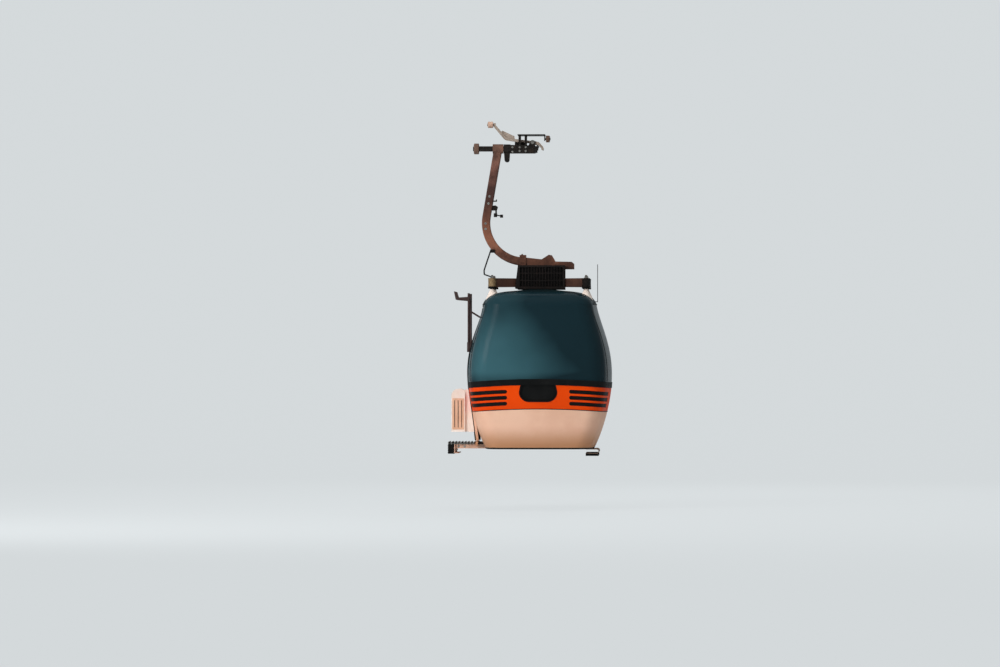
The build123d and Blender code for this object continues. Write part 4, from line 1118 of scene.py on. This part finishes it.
# Running board and buffer fittings. Heights are in millimetres
STEP_X = (-1.197, -0.854)
STEP_HALF = 0.4
GRATE_BARS = 9
GRATE_BAR = 0.009
GRATE_TEETH = 32
TEETH_AT = 88
TOOTH = (8.6, 13, 5)
BUFFER_RIBS = 5
BUFFER_FIRST_RIB = -50
BUFFER_PITCH = 24
BUFFER_PROUD = 0.001
BUFFER_RIB = (5, 5, 790)
BUFFER_BOLT_X = -1.105
BUFFER_BOLT_Y = (-0.34, -0.12, 0.12, 0.34)
BUFFER_BOLTS_AT = -20
BUFFER_BOLT = (9, 9, 9)
BEAM_BOLT_X = (-1.06, -0.98)
BEAM_FACE_Y = 0.36
BEAM_BOLTS_AT = 32
BEAM_BOLT = (10, 10, 9)


def build_lower_fittings():
    teeth = []
    pitch = (STEP_X[1] - STEP_X[0] - GRATE_BAR) / (GRATE_BARS - 1)
    tooth_pitch = 2 * STEP_HALF / GRATE_TEETH
    for bar in range(GRATE_BARS):
        x = STEP_X[0] + bar * pitch + GRATE_BAR / 2
        for tooth in range(GRATE_TEETH):
            y = -STEP_HALF + tooth_pitch * (tooth + 0.5)
            teeth.append(((x, y, level(TEETH_AT)), UP, TOOTH))
    repeat("grating_teeth", "cabin", "mill finish alloy", "block", teeth)

    ribs = []
    for index in range(BUFFER_RIBS):
        z = level(BUFFER_FIRST_RIB + BUFFER_PITCH * index)
        ribs.append(((STEP_X[0] - BUFFER_PROUD, 0, z), ALONG_ROPE, BUFFER_RIB))
    repeat("buffer_ribs", "cabin", "moulded rubber", "bar", ribs)
    bolts = [((BUFFER_BOLT_X, y, level(BUFFER_BOLTS_AT)), ACROSS, BUFFER_BOLT) for y in BUFFER_BOLT_Y]
    for sign in (-1, 1):
        for x in BEAM_BOLT_X:
            bolts.append(((x, sign * BEAM_FACE_Y, level(BEAM_BOLTS_AT)), (0, sign, 0), BEAM_BOLT))
    repeat("outrigger_bolts", "cabin", "galvanised steel", "bolt", bolts)


# Ski baskets: the faces of their end plates. Places across a face and heights are in millimetres
BASKET_X = -1.0645
BASKET_Y = 0.2165
BASKET_HALF = 0.15
FACE_PROUD = 0.0045
FACE_THICK = 2
FACE_HALF = 78
FACE_LOW = 252
FACE_HIGH = 662
SLOTS_AT = (-46, 0, 46)
SLOT_GAP = 10
SLOT_LOW = 279
SLOT_HIGH = 635
SLOT_SHADE_WIDE = 26
SLOT_SHADE_OVER = 6


def face_columns():
    """Left and right edges of the face's upright strips, between its slots."""
    lefts = [-FACE_HALF] + [slot + SLOT_GAP / 2 for slot in SLOTS_AT]
    rights = [slot - SLOT_GAP / 2 for slot in SLOTS_AT] + [FACE_HALF]
    return zip(lefts, rights)


def build_basket_faces():
    """Raised face with three narrow slots on each end of a basket, and a dark brown sheet of painted shade
    behind them.
    """
    slot_high = SLOT_HIGH - SLOT_LOW
    slot_middle = level((SLOT_LOW + SLOT_HIGH) / 2)
    for end, sign in (("front", -1), ("rear", 1)):
        strips = []
        slot_shade_sheets = []
        for side in (-1, 1):
            plate_y = sign * BASKET_Y + side * BASKET_HALF
            face_y = plate_y + side * FACE_PROUD
            for left, right in face_columns():
                x = BASKET_X + (left + right) / 2 * MM
                strips.append(((x, face_y, slot_middle), UP, (right - left, FACE_THICK, slot_high)))
            for low, high in ((FACE_LOW, SLOT_LOW), (SLOT_HIGH, FACE_HIGH)):
                place = (BASKET_X, face_y, level((low + high) / 2))
                strips.append((place, UP, (2 * FACE_HALF, FACE_THICK, high - low)))
            # Brown sheets behind the slots are painted shade for the dark inside of the basket
            for slot in SLOTS_AT:
                place = (BASKET_X + slot * MM, plate_y - side * FACE_PROUD, slot_middle)
                slot_shade_sheets.append((place, UP, (SLOT_SHADE_WIDE, FACE_THICK, slot_high + SLOT_SHADE_OVER)))
        repeat(f"basket_faces_{end}", f"leaf_{end}", "basket face enamel", "block", strips)
        repeat(f"basket_slot_liners_{end}", f"leaf_{end}", "brown comb paint", "block", slot_shade_sheets)


# Edge of the doorway's sill. Heights are in millimetres
LIP_X = -0.8195
LIP_AT = 70
LIP_SPAN = (31, 856, 50)
STRIP_X = -0.818
STRIP_AT = 96
STRIP_SPAN = (3, 3, 850)


def build_threshold():
    """Pale lip under the leaves, with a rubber strip on top."""
    lip = ((LIP_X, 0, level(LIP_AT)), UP, LIP_SPAN)
    repeat("threshold_lip", "cabin", "cream enamel", "block", [lip])
    strip = ((STRIP_X, 0, level(STRIP_AT)), ALONG_ROPE, STRIP_SPAN)
    repeat("threshold_strip", "cabin", "moulded rubber", "bar", [strip])


build_camera()
build_floor()
build_lamps()
build_sky()
build_materials()
dress_nodes()
build_window_seams()
build_roof_edges()
build_band_trim()
build_rivets()
build_door_seals()
build_hanger_fittings()
build_rod_sleeve()
build_cage_guards()
build_grip_fittings()
build_lower_fittings()
build_basket_faces()
build_threshold()
